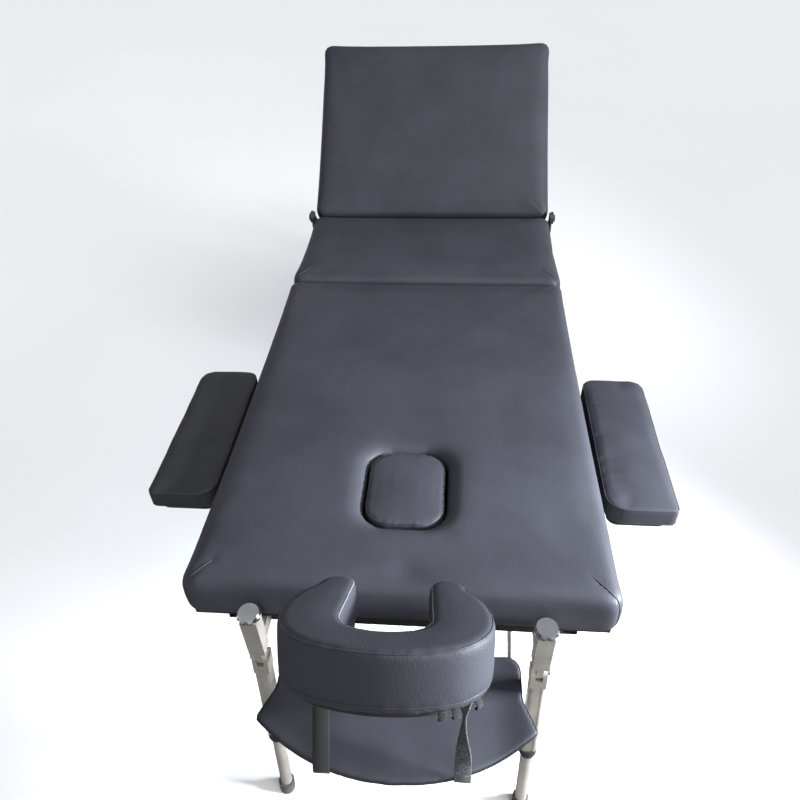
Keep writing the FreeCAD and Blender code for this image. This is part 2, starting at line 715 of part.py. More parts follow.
def build_fold_hinge():
    """Two fork-and-tongue hinges under the side rails, where the table folds."""
    def gusset(sign, x, thickness, hole):
        y = {name: f"{sign} * ({text})" for name, text in
             (("far", "hinge_length"), ("root", "half_gap + 2"), ("eye", "hinge_eye_radius"))}
        outline = [(y["far"], "rail_base"), (y["root"], "rail_base"), (f"-({y['eye']})", "fold_axis_z"),
                   (y["eye"], "fold_axis_z", "0", "fold_axis_z - hinge_eye_radius")]
        return plate("Gusset", "YZ_Plane", outline, thickness, x, [(hole, "0", "fold_axis_z")])

    forks = []
    tongues = []
    pins = []
    spread = "hinge_tongue / 2 + side_play"
    for _, side in SIDES:
        middle = f"{side} * (rail_x + rail_width / 2)"
        for x in (f"{middle} - ({spread}) - hinge_plate", f"{middle} + {spread}"):
            forks.append(gusset(-1, x, "hinge_plate", "pin_radius"))
        tongues.append(gusset(1, f"{middle} - hinge_tongue / 2", "hinge_tongue", "pin_radius + pin_play"))
        pins.append(rod("pin_radius", "rail_width", (f"{middle} - rail_width / 2", 0, "fold_axis_z"), "X"))
    node(group(*forks), "fold_hinge_forks")
    node(group(*tongues), "fold_hinge_tongues")
    node(group(*pins), "fold_hinge_pins")


def build_ratchets():
    """Ratchet hinges at both ends of the crease under the back section."""
    fixed = []
    moving = []
    pins = []
    foot = "ratchet_plate * 1.2"
    rail_face = "rail_x + rail_width"
    for _, side in SIDES:
        inner = "ratchet_x" if side > 0 else "-(ratchet_x + ratchet_plate)"
        outer_start = "ratchet_x + ratchet_plate + soft_gap"
        outer = outer_start if side > 0 else f"-({outer_start} + ratchet_plate)"
        arm_y = "-ratchet_arm - ratchet_offset"
        drop = "back_axis_z - board_base"
        disc = rod("ratchet_radius", "ratchet_plate", (inner, 0, 0), "X")
        arm = box(("ratchet_plate", "ratchet_arm + ratchet_offset", f"{drop} + {foot}"),
                  (inner, arm_y, f"-({drop}) - {foot}"))
        reach = f"ratchet_x + ratchet_plate - ({rail_face})"
        shelf_x = rail_face if side > 0 else "-(ratchet_x + ratchet_plate)"
        shelf = box((reach, "ratchet_arm", foot), (shelf_x, arm_y, f"-({drop}) - {foot}"))
        pin_hole = rod("rivet_radius", "2 * ratchet_plate", (f"{inner} - ratchet_plate / 2", 0, 0), "X")
        fixed.append(cut(fuse(disc, arm, shelf), pin_hole))
        disc = rod("ratchet_radius", "ratchet_plate", (outer, 0, 0), "X")
        lift = f"{drop} - back_lift_gap"
        arm = box(("ratchet_plate", "ratchet_arm + ratchet_offset", f"{lift} + {foot}"),
                  (outer, 0, f"-({lift}) - {foot}"))
        wing = f"{outer_start} + ratchet_plate - ({rail_face}) - frame_inset / 4"
        wing_x = f"{rail_face} + frame_inset / 4" if side > 0 else outer
        wing_box = box((wing, "ratchet_arm", foot), (wing_x, "ratchet_offset", f"-({lift}) - {foot}"))
        hole_start = (f"{outer} - ratchet_plate / 2", 0, 0)
        pin_hole = rod("rivet_radius + pin_play", "2 * ratchet_plate", hole_start, "X")
        moving.append(cut(fuse(disc, arm, wing_box), pin_hole))
        reach = "2 * ratchet_plate + 2 * soft_gap"
        shank_x = inner if side > 0 else f"{inner} + ratchet_plate - ({reach})"
        shank = rod("rivet_radius", reach, (shank_x, 0, 0), "X")
        cap_x = f"ratchet_x + {reach}" if side > 0 else f"-(ratchet_x + {reach}) - pin_head_length"
        cap = rod("ratchet_radius * 0.6", "pin_head_length", (cap_x, 0, 0), "X")
        pins.append(fuse(shank, cap))
    node(group(*fixed), "back_ratchet_fixed", y="mid_length", z="back_axis_z")
    node(group(*moving), "back_ratchet_moving", y="mid_length", z="back_axis_z", turn="back_angle")
    node(group(*pins), "back_ratchet_pins", y="mid_length", z="back_axis_z")


def armrest_rods():
    return [f"-armrest_y {sign} armrest_rod_spacing / 2" for sign in "-+"]


def build_armrest(name, side):
    """One armrest: cushion, board and two rods that plug into the side rail."""
    low_x, high_x = sorted([side * value("armrest_x"), side * value("armrest_x + armrest_width")])
    low = [low_x, value("-armrest_y - armrest_length / 2"), value("armrest_base")]
    high = [high_x, value("-armrest_y + armrest_length / 2"), value("armrest_base + armrest_thickness")]
    roll = value("pad_roll") * 0.6
    pad = cushion(low, high, value("armrest_corner"), value("pad_tuck") * 0.6, roll, value("pad_crown") * 0.7,
                  value("side_sag") * 0.7)
    node(soft_solid(pad), f"armrest_cushion_{name}")
    middle = f"{side} * (armrest_x + armrest_width / 2)"
    outline = rounded("armrest_width / 2 - armrest_board_inset", "armrest_length / 2 - armrest_board_inset",
                      "armrest_corner - armrest_board_inset / 2", middle, "-armrest_y")
    board_low = "armrest_base - armrest_board"
    node(plate("ArmBoard", "XY_Plane", outline, "armrest_board", board_low), f"armrest_board_{name}")
    rods = []
    start = "rail_x - socket_wall"
    length = f"armrest_x + armrest_rod_grip - ({start})"
    for y in armrest_rods():
        bar_x = start if side > 0 else f"-(armrest_x + armrest_rod_grip)"
        bar = rod("armrest_rod_radius", length, (bar_x, y, "rail_mid_z"), "X")
        tab = "armrest_rod_radius * 3"
        tab_x = f"{side} * (armrest_x + armrest_width / 2) - {tab} / 2"
        tab_low = (tab_x, f"{y} - {tab} / 2", "rail_mid_z")
        rods.append(fuse(bar, box((tab, tab, f"{board_low} - rail_mid_z"), tab_low)))
    node(group(*rods), f"armrest_rods_{name}")


def socket(radius, length, start, axis, flange_start):
    """A plastic bush with a flange on the rail's outer face."""
    outer = rod(f"{radius} + socket_wall", length, start, axis)
    flange = rod(f"{radius} + socket_wall + socket_flange", "socket_flange", flange_start, axis)
    bore_length = f"{length} + 2 * socket_flange"
    bore_start = list(start)
    index = "XYZ".index(axis)
    bore_start[index] = f"{start[index]} - socket_flange"
    return cut(fuse(outer, flange), rod(f"{radius} + socket_play", bore_length, bore_start, axis))


def build_sockets(end, sign):
    """Bushes for the headrest rods in the end rail, and for the armrests in the side rails."""
    bushes = []
    face = f"{end}_length - frame_end_inset"
    length = "rail_width + 2 * socket_flange"
    for _, side in SIDES:
        low = span(sign, f"{face} - rail_width - socket_flange", f"{face} + socket_flange")
        flange = span(sign, face, f"{face} + socket_flange")
        x = f"{side} * headrest_rod_x"
        starts = [(x, y, "rail_mid_z") for y in (low, flange)]
        bushes.append(socket("headrest_rod_radius", length, starts[0], "Y", starts[1]))
        if end == "near":
            start = "rail_x - socket_flange" if side > 0 else "-(rail_x + rail_width + socket_flange)"
            ring = "rail_x + rail_width" if side > 0 else "-(rail_x + rail_width + socket_flange)"
            for y in armrest_rods():
                bushes.append(socket("armrest_rod_radius", length, (start, y, "rail_mid_z"), "X",
                                     (ring, y, "rail_mid_z")))
    node(group(*bushes), f"{end}_sockets")


def bow(reach, corner, lowest, grow):
    """Half of a rounded front: where it starts at the side, and the points its two arcs pass."""
    run = f"({reach} - {corner} * (1 - cos(70 deg)))"
    start = f"({lowest} + {corner} * sin(70 deg) + {run} * tan(10 deg))"
    radius = f"({corner} + {grow})"
    centre = f"({reach} - {corner})"
    return [(f"{centre} + {radius}", start),
            (f"{centre} + {radius} * cos(35 deg)", f"{start} - {radius} * sin(35 deg)"),
            (f"{centre} + {radius} * cos(70 deg)", f"{start} - {radius} * sin(70 deg)"),
            ("0", f"{lowest} - {grow}")]


def horseshoe(inset):
    """Outline of the headrest, drawn flat about the tilt axis, its prongs drawing in to their tips."""
    low = "(headrest_axis_set - headrest_length)"
    outer = bow("headrest_width / 2", "headrest_corner", low, f"(-{inset})")
    inner = bow("headrest_opening / 2", "headrest_bay_corner", f"({low} + headrest_band)", inset)
    tip = f"(headrest_axis_set - {inset})"
    round_end = f"(headrest_tip_radius - {inset})"
    knee = "(1 - sqrt(0.5))"
    side = (f"headrest_tip_width / 2 - {inset} * 0.75",
            f"headrest_axis_set - headrest_tip_radius * 1.25 - {inset} * 0.55")
    swing = (f"{outer[0][0]} - ({outer[0][0]} - ({side[0]})) * 0.26",
             f"{outer[0][1]} + ({side[1]} - {outer[0][1]}) * 0.54")
    cheek = (f"{side[0]} - headrest_tip_radius * 0.27",
             f"headrest_axis_set - headrest_tip_radius * 0.38 - {inset} * 0.7")
    mouth = f"(headrest_mouth / 2 + {inset})"
    end = (f"headrest_mouth / 2 + headrest_tip_radius", tip)
    turn = (f"{mouth} + {round_end} * {knee}", f"{tip} - {round_end} * {knee}")
    right = [outer[0] + outer[1], side + swing, end + cheek, (mouth, f"{tip} - {round_end}") + turn,
             inner[0], inner[2] + inner[1]]

    def mirror(point):
        return (f"-({point[0]})", point[1])

    left = [mirror(inner[2]) + inner[3], mirror(inner[0]) + mirror(inner[1]), mirror((mouth, f"{tip} - {round_end}")),
            mirror(end) + mirror(turn), mirror(side) + mirror(cheek), mirror(outer[0]) + mirror(swing),
            mirror(outer[2]) + mirror(outer[1]), outer[2] + outer[3]]
    return right + left


def build_headrest():
    """Horseshoe cushion on its plate, tilting on a yoke whose rods plug into the end rail."""
    tilt = {"y": "head_y", "z": "head_z", "turn": "-headrest_tilt"}
    top = value("head_base + headrest_thickness")
    steps = rolled_steps(value("head_base"), top, value("pad_tuck") * 0.6, value("headrest_roll"), 0)
    rings = [outline_wire(horseshoe(f"{inset}"), height) for inset, height in steps]
    node(soft_solid(Part.makeLoft(rings, True, False)), "headrest_cushion", **tilt)

    board = plate("HeadPlate", "XY_Plane", horseshoe("headrest_plate_inset"), "headrest_plate_thickness",
                  "headrest_axis_below")
    ears = []
    for _, side in SIDES:
        start = f"{side} * (headrest_rod_x - yoke_plate - side_play) - yoke_plate / 2"
        ears.append(rod("ear_radius", "yoke_plate", (start, 0, 0), "X"))
        neck = ("yoke_plate", "2 * ear_radius", "headrest_axis_below + 1")
        ears.append(box(neck, (start, "-ear_radius", 0)))
        lug_start = f"{start} - 2 * ear_radius" if side > 0 else start
        lug = ("2 * ear_radius + yoke_plate", "2 * ear_radius", "headrest_plate_thickness")
        ears.append(box(lug, (lug_start, "-ear_radius", "headrest_axis_below")))
    pin_hole = rod("pin_radius + pin_play", "headrest_width", ("-headrest_width / 2", 0, 0), "X")
    node(cut(fuse(board, *ears), pin_hole), "headrest_plate", **tilt)

    pieces = []
    rod_low = "-near_length - headrest_rod_out"
    for _, side in SIDES:
        x = f"{side} * headrest_rod_x"
        rod_length = "headrest_rod_in + headrest_rod_out"
        pieces.append(rod("headrest_rod_radius", rod_length, (x, rod_low, "rail_mid_z"), "Y"))
        outline = [("head_y - yoke_foot / 2", "rail_mid_z"), ("head_y + yoke_foot / 2", "rail_mid_z"),
                   ("head_y + ear_radius", "head_z"),
                   ("head_y - ear_radius", "head_z", "head_y", "head_z + ear_radius")]
        pieces.append(plate("Yoke", "YZ_Plane", outline, "yoke_plate", f"{x} - yoke_plate / 2"))
    tie_start = ("-headrest_rod_x", f"{rod_low} + 2 * headrest_rod_radius", "rail_mid_z")
    pieces.append(rod("tie_radius", "2 * headrest_rod_x", tie_start, "X"))
    pin_reach = "headrest_rod_x + yoke_plate * 2"
    pieces.append(rod("pin_radius", f"2 * ({pin_reach})", (f"-({pin_reach})", "head_y", "head_z"), "X"))
    node(fuse(*pieces), "headrest_base")

    lever_x = "headrest_rod_x + yoke_plate / 2 + soft_gap"
    hub = rod("lever_hub_radius", "lever_thickness", (lever_x, 0, 0), "X")
    arm_low = (lever_x, "-lever_width / 2", "-lever_length")
    arm = box(("lever_thickness", "lever_width", "lever_length"), arm_low)
    tip = rod("lever_width / 2", "lever_thickness", (lever_x, 0, "-lever_length"), "X")
    hole_start = (f"{lever_x} - lever_thickness", 0, 0)
    lever_hole = rod("pin_radius + pin_play", "4 * lever_thickness", hole_start, "X")
    node(cut(fuse(hub, arm, tip), lever_hole), "headrest_lever", y="head_y", z="head_z")


def build_shelf():
    """The arm shelf and the two strap slings that hang it from the headrest rods."""
    neck = "shelf_corner + (shelf_back - shelf_corner) * 0.42"
    knee = "shelf_back_corner * (1 - sqrt(0.5))"
    outline = [("shelf_half_width", neck), ("shelf_half_width", "shelf_back - shelf_back_corner"),
               ("shelf_half_width - shelf_back_corner", "shelf_back",
                f"shelf_half_width - {knee}", f"shelf_back - {knee}"),
               ("shelf_back_corner - shelf_half_width", "shelf_back"),
               ("-shelf_half_width", "shelf_back - shelf_back_corner",
                f"{knee} - shelf_half_width", f"shelf_back - {knee}"),
               ("-shelf_half_width", neck),
               ("-shelf_flare", "shelf_corner"),
               ("shelf_flare", "shelf_corner", "0", "shelf_front")]
    node(plate("Shelf", "XY_Plane", outline, "shelf_thickness", "shelf_z - shelf_thickness"), "arm_shelf")
    share = "(headrest_rod_x + strap_width / 2) / shelf_flare"
    front = f"(shelf_front + (shelf_corner - shelf_front) * {share} * {share} * 0.5 - soft_gap)"
    back = "(shelf_back + soft_gap)"
    low = "(shelf_z - shelf_thickness - soft_gap)"
    rim = "(shelf_z + soft_gap)"
    top = "(rail_mid_z + headrest_rod_radius + soft_gap)"
    rod_end = "(-near_length - headrest_rod_out - soft_gap)"
    hook_front = "head_y - yoke_foot / 2 - strap_thickness"
    under = "(rail_mid_z - headrest_rod_radius - soft_gap)"
    outline = [(f"{back} + strap_thickness", f"{low} - strap_thickness"),
               (f"{back} + strap_thickness", under), (f"{back} - strap_width", under),
               (f"{back} - strap_width", f"{under} - strap_thickness"),
               (back, f"{under} - strap_thickness"),
               (back, low), (front, low), (front, rim), (rod_end, top), (hook_front, top),
               (hook_front, f"{top} + strap_thickness"),
               (f"{rod_end} - strap_thickness", f"{top} + strap_thickness"),
               (f"{front} - strap_thickness", rim),
               (f"{front} - strap_thickness", f"{low} - strap_thickness")]
    straps = []
    for _, side in SIDES:
        x = f"{side} * headrest_rod_x - strap_width / 2"
        straps.append(plate("Strap", "YZ_Plane", outline, "strap_width", x))
    node(group(*straps), "shelf_straps")


def check_and_write():
    doc.recompute()
    for obj in doc.Objects:
        if "Invalid" in obj.State or "Error" in obj.State:
            raise RuntimeError(f"{obj.Name} ({obj.Label}) failed: {obj.State}")
    os.makedirs("parts", exist_ok=True)
    for obj in nodes:
        if obj.Shape.isNull() or not obj.Shape.isValid() or not obj.Shape.Solids:
            raise RuntimeError(f"{obj.Label} has no valid solid")
    for obj in nodes:
        obj.Shape.exportStep(f"parts/{obj.Label}.step")
    whole = Part.makeCompound([obj.Shape for obj in nodes]).BoundBox
    print(f"{len(nodes)} sub-parts, X {whole.XMin:.1f} to {whole.XMax:.1f}, "
          f"Y {whole.YMin:.1f} to {whole.YMax:.1f}, Z {whole.ZMin:.1f} to {whole.ZMax:.1f}")


fill_sheets()
build_top()
for end_name, end_sign in ENDS:
    build_frame(end_name, end_sign)
    build_brackets(end_name, end_sign)
    for side_name, side_sign in SIDES:
        build_knob(end_name, end_sign, side_name, side_sign)
    build_legs(end_name, end_sign)
    build_stays(end_name, end_sign)
    build_sockets(end_name, end_sign)
build_fold_hinge()
build_ratchets()
for side_name, side_sign in SIDES:
    build_armrest(side_name, side_sign)
build_headrest()
build_shelf()
check_and_write()
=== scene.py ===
import json
import math

import bmesh
import bpy
import numpy as np
from mathutils import Matrix, Vector, geometry, noise
from mathutils.bvhtree import BVHTree


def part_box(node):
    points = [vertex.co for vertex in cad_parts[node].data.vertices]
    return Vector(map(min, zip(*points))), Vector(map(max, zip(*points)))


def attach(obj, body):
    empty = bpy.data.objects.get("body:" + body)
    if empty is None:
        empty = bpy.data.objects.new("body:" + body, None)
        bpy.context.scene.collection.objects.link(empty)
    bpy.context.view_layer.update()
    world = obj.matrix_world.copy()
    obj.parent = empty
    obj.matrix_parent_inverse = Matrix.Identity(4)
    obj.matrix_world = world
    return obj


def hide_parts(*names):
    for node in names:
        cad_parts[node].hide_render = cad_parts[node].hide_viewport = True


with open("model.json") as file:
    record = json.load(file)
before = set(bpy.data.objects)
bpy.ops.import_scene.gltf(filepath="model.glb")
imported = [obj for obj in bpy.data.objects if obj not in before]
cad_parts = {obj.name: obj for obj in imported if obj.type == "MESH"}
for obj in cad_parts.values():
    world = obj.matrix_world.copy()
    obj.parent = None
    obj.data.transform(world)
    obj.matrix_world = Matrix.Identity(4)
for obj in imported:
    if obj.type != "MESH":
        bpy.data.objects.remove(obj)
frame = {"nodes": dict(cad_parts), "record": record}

# Folding massage table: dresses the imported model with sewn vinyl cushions, seams, straps
# and materials. Metres, +Z up, the headrest end towards -Y.

scene = bpy.context.scene
cad = frame["nodes"]
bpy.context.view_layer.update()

FOLD = 0.06135              # the line where the table folds
HALF = 0.340                # half the width of the top
PAD_TOP = 0.545
PAD_BASE = 0.463
NEAR_END = FOLD - 0.910
MID_END = FOLD + 0.365
BACK_END = FOLD + 0.910
BACK_AXIS = Vector((0, MID_END, 0.531))
BACK_ANGLE = math.radians(42.8)
HEAD_AXIS = Vector((0, FOLD - 0.984, 0.525))
HEAD_TILT = math.radians(32)
HOLE = Vector((0, FOLD - 0.6925, 0))
HOLE_SIZE = (0.071, 0.086, 0.044)      # half width, half length and corner of the face hole
PLUG_SIZE = (0.0685, 0.0835, 0.0415)
RIM_REACH = 0.030           # how far from the hole the pad is drawn down, and by how much
RIM_DROP = 0.0075
PAD_VOXEL = 0.006           # mesh size of the large pads and of the smaller pieces
FINE_VOXEL = 0.0035
PAD_SWELL = (0.003, 2.5, 14)           # most movement, pressure and rounds of calming
STRAP_X = 0.105
STRAP_WIDTH = 0.025
STRAP_THICKNESS = 0.0024
TAB_WIDTH = 0.011
TAB_THICKNESS = 0.0016

CAMERA_PLACE = (0.07435, -1.41901, 1.4160)
CAMERA_YAW, CAMERA_PITCH, CAMERA_ROLL = -0.0996, 0.7083, 0.0391
CAMERA_LENS = 30.553
ROOM_LEFT = (0.30, 0.285, 0.275)       # the room's colour at each side
ROOM_RIGHT = (0.58, 0.62, 0.70)
SUN_FROM = (0.5, -0.3, 0.8)
FLOOR_REACH = 40.0


# ---------------------------------------------------------------- camera, light and floor

def set_camera():
    yaw, pitch, roll = CAMERA_YAW, CAMERA_PITCH, CAMERA_ROLL
    forward = Vector((math.sin(yaw) * math.cos(pitch), math.cos(yaw) * math.cos(pitch), -math.sin(pitch)))
    right = Vector((math.cos(yaw), -math.sin(yaw), 0))
    down = forward.cross(right)
    across = math.cos(roll) * right + math.sin(roll) * down
    below = -math.sin(roll) * right + math.cos(roll) * down
    data = bpy.data.cameras.new("camera")
    data.lens = CAMERA_LENS
    data.sensor_width = 36.0
    data.clip_start = 0.05
    camera = bpy.data.objects.new("camera", data)
    turn = Matrix((across, -below, -forward)).transposed()
    camera.matrix_world = Matrix.Translation(CAMERA_PLACE) @ turn.to_4x4()
    scene.collection.objects.link(camera)
    scene.camera = camera


def area_light(name, place, target, size, energy, colour=(1, 1, 1), spread=180):
    data = bpy.data.lights.new(name, "AREA")
    data.shape = "RECTANGLE"
    data.size, data.size_y = size
    data.energy = energy
    data.color = colour
    data.spread = math.radians(spread)
    light = bpy.data.objects.new(name, data)
    light.location = place
    light.rotation_euler = (Vector(target) - Vector(place)).to_track_quat("-Z", "Y").to_euler()
    scene.collection.objects.link(light)


def set_light():
    """A dim room, brighter to the right, with two cool keys from that side and a broad sun."""
    world = bpy.data.worlds.new("studio")
    world.use_nodes = True
    tree = world.node_tree
    back = tree.nodes["Background"]
    place = tree.nodes.new("ShaderNodeTexCoord")
    split = tree.nodes.new("ShaderNodeSeparateXYZ")
    across = tree.nodes.new("ShaderNodeMapRange")
    across.inputs["From Min"].default_value = -1
    across.inputs["From Max"].default_value = 1
    tint = tree.nodes.new("ShaderNodeValToRGB")
    for element, colour in zip(tint.color_ramp.elements, (ROOM_LEFT, ROOM_RIGHT)):
        element.color = (*colour, 1)
    tree.links.new(place.outputs["Generated"], split.inputs["Vector"])
    tree.links.new(split.outputs["X"], across.inputs["Value"])
    tree.links.new(across.outputs["Result"], tint.inputs["Fac"])
    tree.links.new(tint.outputs["Color"], back.inputs["Color"])
    back.inputs["Strength"].default_value = 1.0
    scene.world = world
    scene.view_settings.view_transform = "Standard"
    scene.view_settings.look = "None"
    area_light("key", (1.60, -0.84, 0.92), (0.1, -0.82, 0.50), (0.5, 0.3), 40, (0.88, 0.94, 1.0), 80)
    area_light("back_key", (1.9, -0.3, 1.25), (0.2, 0.75, 0.75), (0.6, 0.5), 10, (0.90, 0.95, 1.0), 70)
    sun = bpy.data.lights.new("fill", "SUN")
    sun.energy = 1.9
    sun.angle = math.radians(50)
    fill = bpy.data.objects.new("fill", sun)
    fill.rotation_euler = Vector(SUN_FROM).to_track_quat("Z", "Y").to_euler()
    scene.collection.objects.link(fill)


# ---------------------------------------------------------------- materials

def start_material(name, colour, roughness, metallic=0.0):
    material = bpy.data.materials.new(name)
    material.use_nodes = True
    tree = material.node_tree
    shader = tree.nodes["Principled BSDF"]
    shader.inputs["Base Color"].default_value = (*colour, 1)
    shader.inputs["Roughness"].default_value = roughness
    shader.inputs["Metallic"].default_value = metallic
    return material, tree, shader


def texture(tree, kind, scale, stretch=(1, 1, 1), uv=False, **settings):
    """A texture node read in the piece's own coordinates, stretched along its axes."""
    place = tree.nodes.new("ShaderNodeTexCoord")
    mapping = tree.nodes.new("ShaderNodeMapping")
    mapping.inputs["Scale"].default_value = stretch
    node = tree.nodes.new(f"ShaderNodeTex{kind}")
    tree.links.new(place.outputs["UV" if uv else "Object"], mapping.inputs["Vector"])
    tree.links.new(mapping.outputs["Vector"], node.inputs["Vector"])
    node.inputs["Scale"].default_value = scale
    for key, value in settings.items():
        if key in node.inputs:
            node.inputs[key].default_value = value
        else:
            setattr(node, key, value)
    return node


def out_of(node):
    for name in ("Fac", "Distance", "Factor"):
        if name in node.outputs:
            return node.outputs[name]
    return node.outputs[0]


def ramp(tree, source, stops, target):
    """Feed a socket from a texture through a colour ramp."""
    node = tree.nodes.new("ShaderNodeValToRGB")
    while len(node.color_ramp.elements) < len(stops):
        node.color_ramp.elements.new(0.5)
    for element, (at, colour) in zip(node.color_ramp.elements, stops):
        element.position = at
        element.color = (*colour, 1) if len(colour) == 3 else colour
    tree.links.new(out_of(source), node.inputs["Fac"])
    tree.links.new(node.outputs["Color"], target)
    return node


def spread(tree, source, low, high, target):
    """Feed a socket from a texture, mapped to a range."""
    node = tree.nodes.new("ShaderNodeMapRange")
    node.inputs["To Min"].default_value = low
    node.inputs["To Max"].default_value = high
    tree.links.new(out_of(source), node.inputs["Value"])
    tree.links.new(node.outputs["Result"], target)


def bumps(tree, shader, *layers):
    """Chain height textures (node, strength, distance) into the shader's normal."""
    last = None
    for source, strength, distance in layers:
        node = tree.nodes.new("ShaderNodeBump")
        node.inputs["Strength"].default_value = strength
        node.inputs["Distance"].default_value = distance
        tree.links.new(out_of(source), node.inputs["Height"])
        if last is not None:
            tree.links.new(last.outputs["Normal"], node.inputs["Normal"])
        last = node
    tree.links.new(last.outputs["Normal"], shader.inputs["Normal"])


def grey(value):
    return (value, value, value)


def vinyl_material(name, dark, light, roughness=(0.46, 0.58), grain=0.3):
    """Upholstery vinyl: a fine pebbled grain, faint clouding and a soft sheen."""
    material, tree, shader = start_material(name, light, roughness[0])
    cloud = texture(tree, "Noise", 7.0, Detail=3.0, Roughness=0.6)
    ramp(tree, cloud, [(0.32, dark), (0.70, light)], shader.inputs["Base Color"])
    wear = texture(tree, "Noise", 26.0, Detail=4.0)
    spread(tree, wear, roughness[0], roughness[1], shader.inputs["Roughness"])
    pebble = texture(tree, "Voronoi", 620.0, feature="SMOOTH_F1", Randomness=1.0)
    fine = texture(tree, "Noise", 1500.0, Detail=2.0)
    bumps(tree, shader, (pebble, grain, 0.0006), (fine, grain * 0.6, 0.0003))
    shader.inputs["Specular IOR Level"].default_value = 0.2
    return material


def metal_material(name, dark, light, roughness, streak, brushed=(1, 1, 1), bump=0.05, metallic=1.0):
    """Bare metal with faint drawing marks along one axis."""
    material, tree, shader = start_material(name, light, roughness[0], metallic)
    cloud = texture(tree, "Noise", 18.0, Detail=4.0)
    ramp(tree, cloud, [(0.35, dark), (0.65, light)], shader.inputs["Base Color"])
    line = texture(tree, "Noise", streak, brushed, Detail=3.0)
    spread(tree, line, roughness[0], roughness[1], shader.inputs["Roughness"])
    bumps(tree, shader, (line, bump, 0.0004))
    return material


def plastic_material(name, dark, light, roughness, grain, size=900.0):
    material, tree, shader = start_material(name, light, roughness[0])
    cloud = texture(tree, "Noise", 40.0, Detail=3.0)
    ramp(tree, cloud, [(0.35, dark), (0.68, light)], shader.inputs["Base Color"])
    spread(tree, cloud, roughness[0], roughness[1], shader.inputs["Roughness"])
    fine = texture(tree, "Noise", size, Detail=2.0)
    bumps(tree, shader, (fine, grain, 0.0003))
    return material


def board_material():
    """Birch plywood under a black stain: long figure across the table and open pores."""
    material, tree, shader = start_material("plywood", (0.022, 0.021, 0.020), 0.6)
    figure = texture(tree, "Noise", 9.0, (1.0, 8.0, 1.0), Detail=6.0, Distortion=0.6)
    stops = [(0.30, (0.014, 0.013, 0.012)), (0.52, (0.022, 0.020, 0.019)), (0.74, (0.032, 0.029, 0.026))]
    ramp(tree, figure, stops, shader.inputs["Base Color"])
    pores = texture(tree, "Noise", 160.0, (1.0, 14.0, 1.0), Detail=3.0)
    spread(tree, pores, 0.55, 0.78, shader.inputs["Roughness"])
    bumps(tree, shader, (pores, 0.15, 0.0005))
    shader.inputs["Specular IOR Level"].default_value = 0.3
    return material


def webbing_material(name, dark, light, fuzz):
    """Flat woven tape: ribs across the width, read from the strip's own length and width."""
    material, tree, shader = start_material(name, dark, 0.8)
    rib = texture(tree, "Wave", 95.0, uv=True, bands_direction="Y", Distortion=0.6)
    warp = texture(tree, "Wave", 150.0, uv=True, bands_direction="X", Distortion=0.4)
    lint = texture(tree, "Noise", 420.0, Detail=5.0)
    ramp(tree, lint, [(0.38, dark), (0.72, light)], shader.inputs["Base Color"])
    spread(tree, lint, 0.7, 0.95, shader.inputs["Roughness"])
    bumps(tree, shader, (rib, 0.5, 0.0006), (warp, 0.35, 0.0004), (lint, fuzz, 0.0008))
    shader.inputs["Specular IOR Level"].default_value = 0.25
    shader.inputs["Sheen Weight"].default_value = 0.08
    shader.inputs["Sheen Roughness"].default_value = 0.6
    return material


VINYL_DARK = (0.031, 0.0315, 0.039)
VINYL_LIGHT = (0.041, 0.0415, 0.052)

MATERIAL = {
    "vinyl": vinyl_material("vinyl", VINYL_DARK, VINYL_LIGHT),
    # The headrest's vinyl is a darker copy of the table's: painted shade on its top. Its coarser grain and
    # rougher finish are its own.
    "vinyl_grainy_painted_shade": vinyl_material("vinyl_grainy_painted_shade", VINYL_DARK, (0.034, 0.0345, 0.043), (0.5, 0.65),
                                   0.5),
    # A darker copy of the table's vinyl for the left armrest: painted shade on the side away from the keys.
    "vinyl_arm_painted_shade": vinyl_material("vinyl_arm_painted_shade", (0.024, 0.024, 0.027), (0.032, 0.032, 0.036)),
    # The seams' slightly lighter tone is a painted highlight along their ridges; their lower roughness makes
    # them glossier.
    "seam": vinyl_material("seam", (0.03, 0.03, 0.036), (0.05, 0.051, 0.062), (0.32, 0.45), 0.4),
    # Pale grey piping: a painted highlight along the rim of the headrest's opening.
    "piping_painted_highlight": vinyl_material("piping_painted_highlight", (0.10, 0.10, 0.115), (0.17, 0.17, 0.19), (0.3, 0.45), 0.4),
    "binding": vinyl_material("binding", (0.012, 0.012, 0.014), (0.02, 0.02, 0.023), (0.4, 0.55), 0.5),
    "board": board_material(),
    "black_frame": plastic_material("black_frame", (0.012, 0.012, 0.013), (0.022, 0.022, 0.024),
                                    (0.38, 0.55), 0.12, 500.0),
    "black_steel": plastic_material("black_steel", (0.014, 0.014, 0.015), (0.034, 0.033, 0.032),
                                    (0.32, 0.5), 0.2, 300.0),
    "aluminium": metal_material("aluminium", (0.44, 0.40, 0.35), (0.60, 0.555, 0.49), (0.30, 0.5), 260.0,
                                (8.0, 8.0, 0.25), metallic=0.66),
    "chrome": metal_material("chrome", grey(0.50), grey(0.72), (0.06, 0.18), 60.0, bump=0.02),
    "steel": metal_material("zinc_steel", (0.30, 0.30, 0.31), (0.46, 0.46, 0.47), (0.3, 0.46), 180.0,
                            (6.0, 0.4, 6.0)),
    "black_plastic": plastic_material("black_plastic", (0.012, 0.012, 0.013), (0.026, 0.026, 0.028),
                                      (0.35, 0.5), 0.25),
    "rubber": plastic_material("rubber", (0.05, 0.049, 0.047), (0.085, 0.083, 0.08), (0.7, 0.88), 0.4,
                               600.0),
    "webbing": webbing_material("webbing", (0.006, 0.006, 0.007), (0.015, 0.015, 0.016), 0.3),
    "loop_tape": webbing_material("loop_tape", (0.03, 0.03, 0.033), (0.15, 0.15, 0.16), 1.0),
}


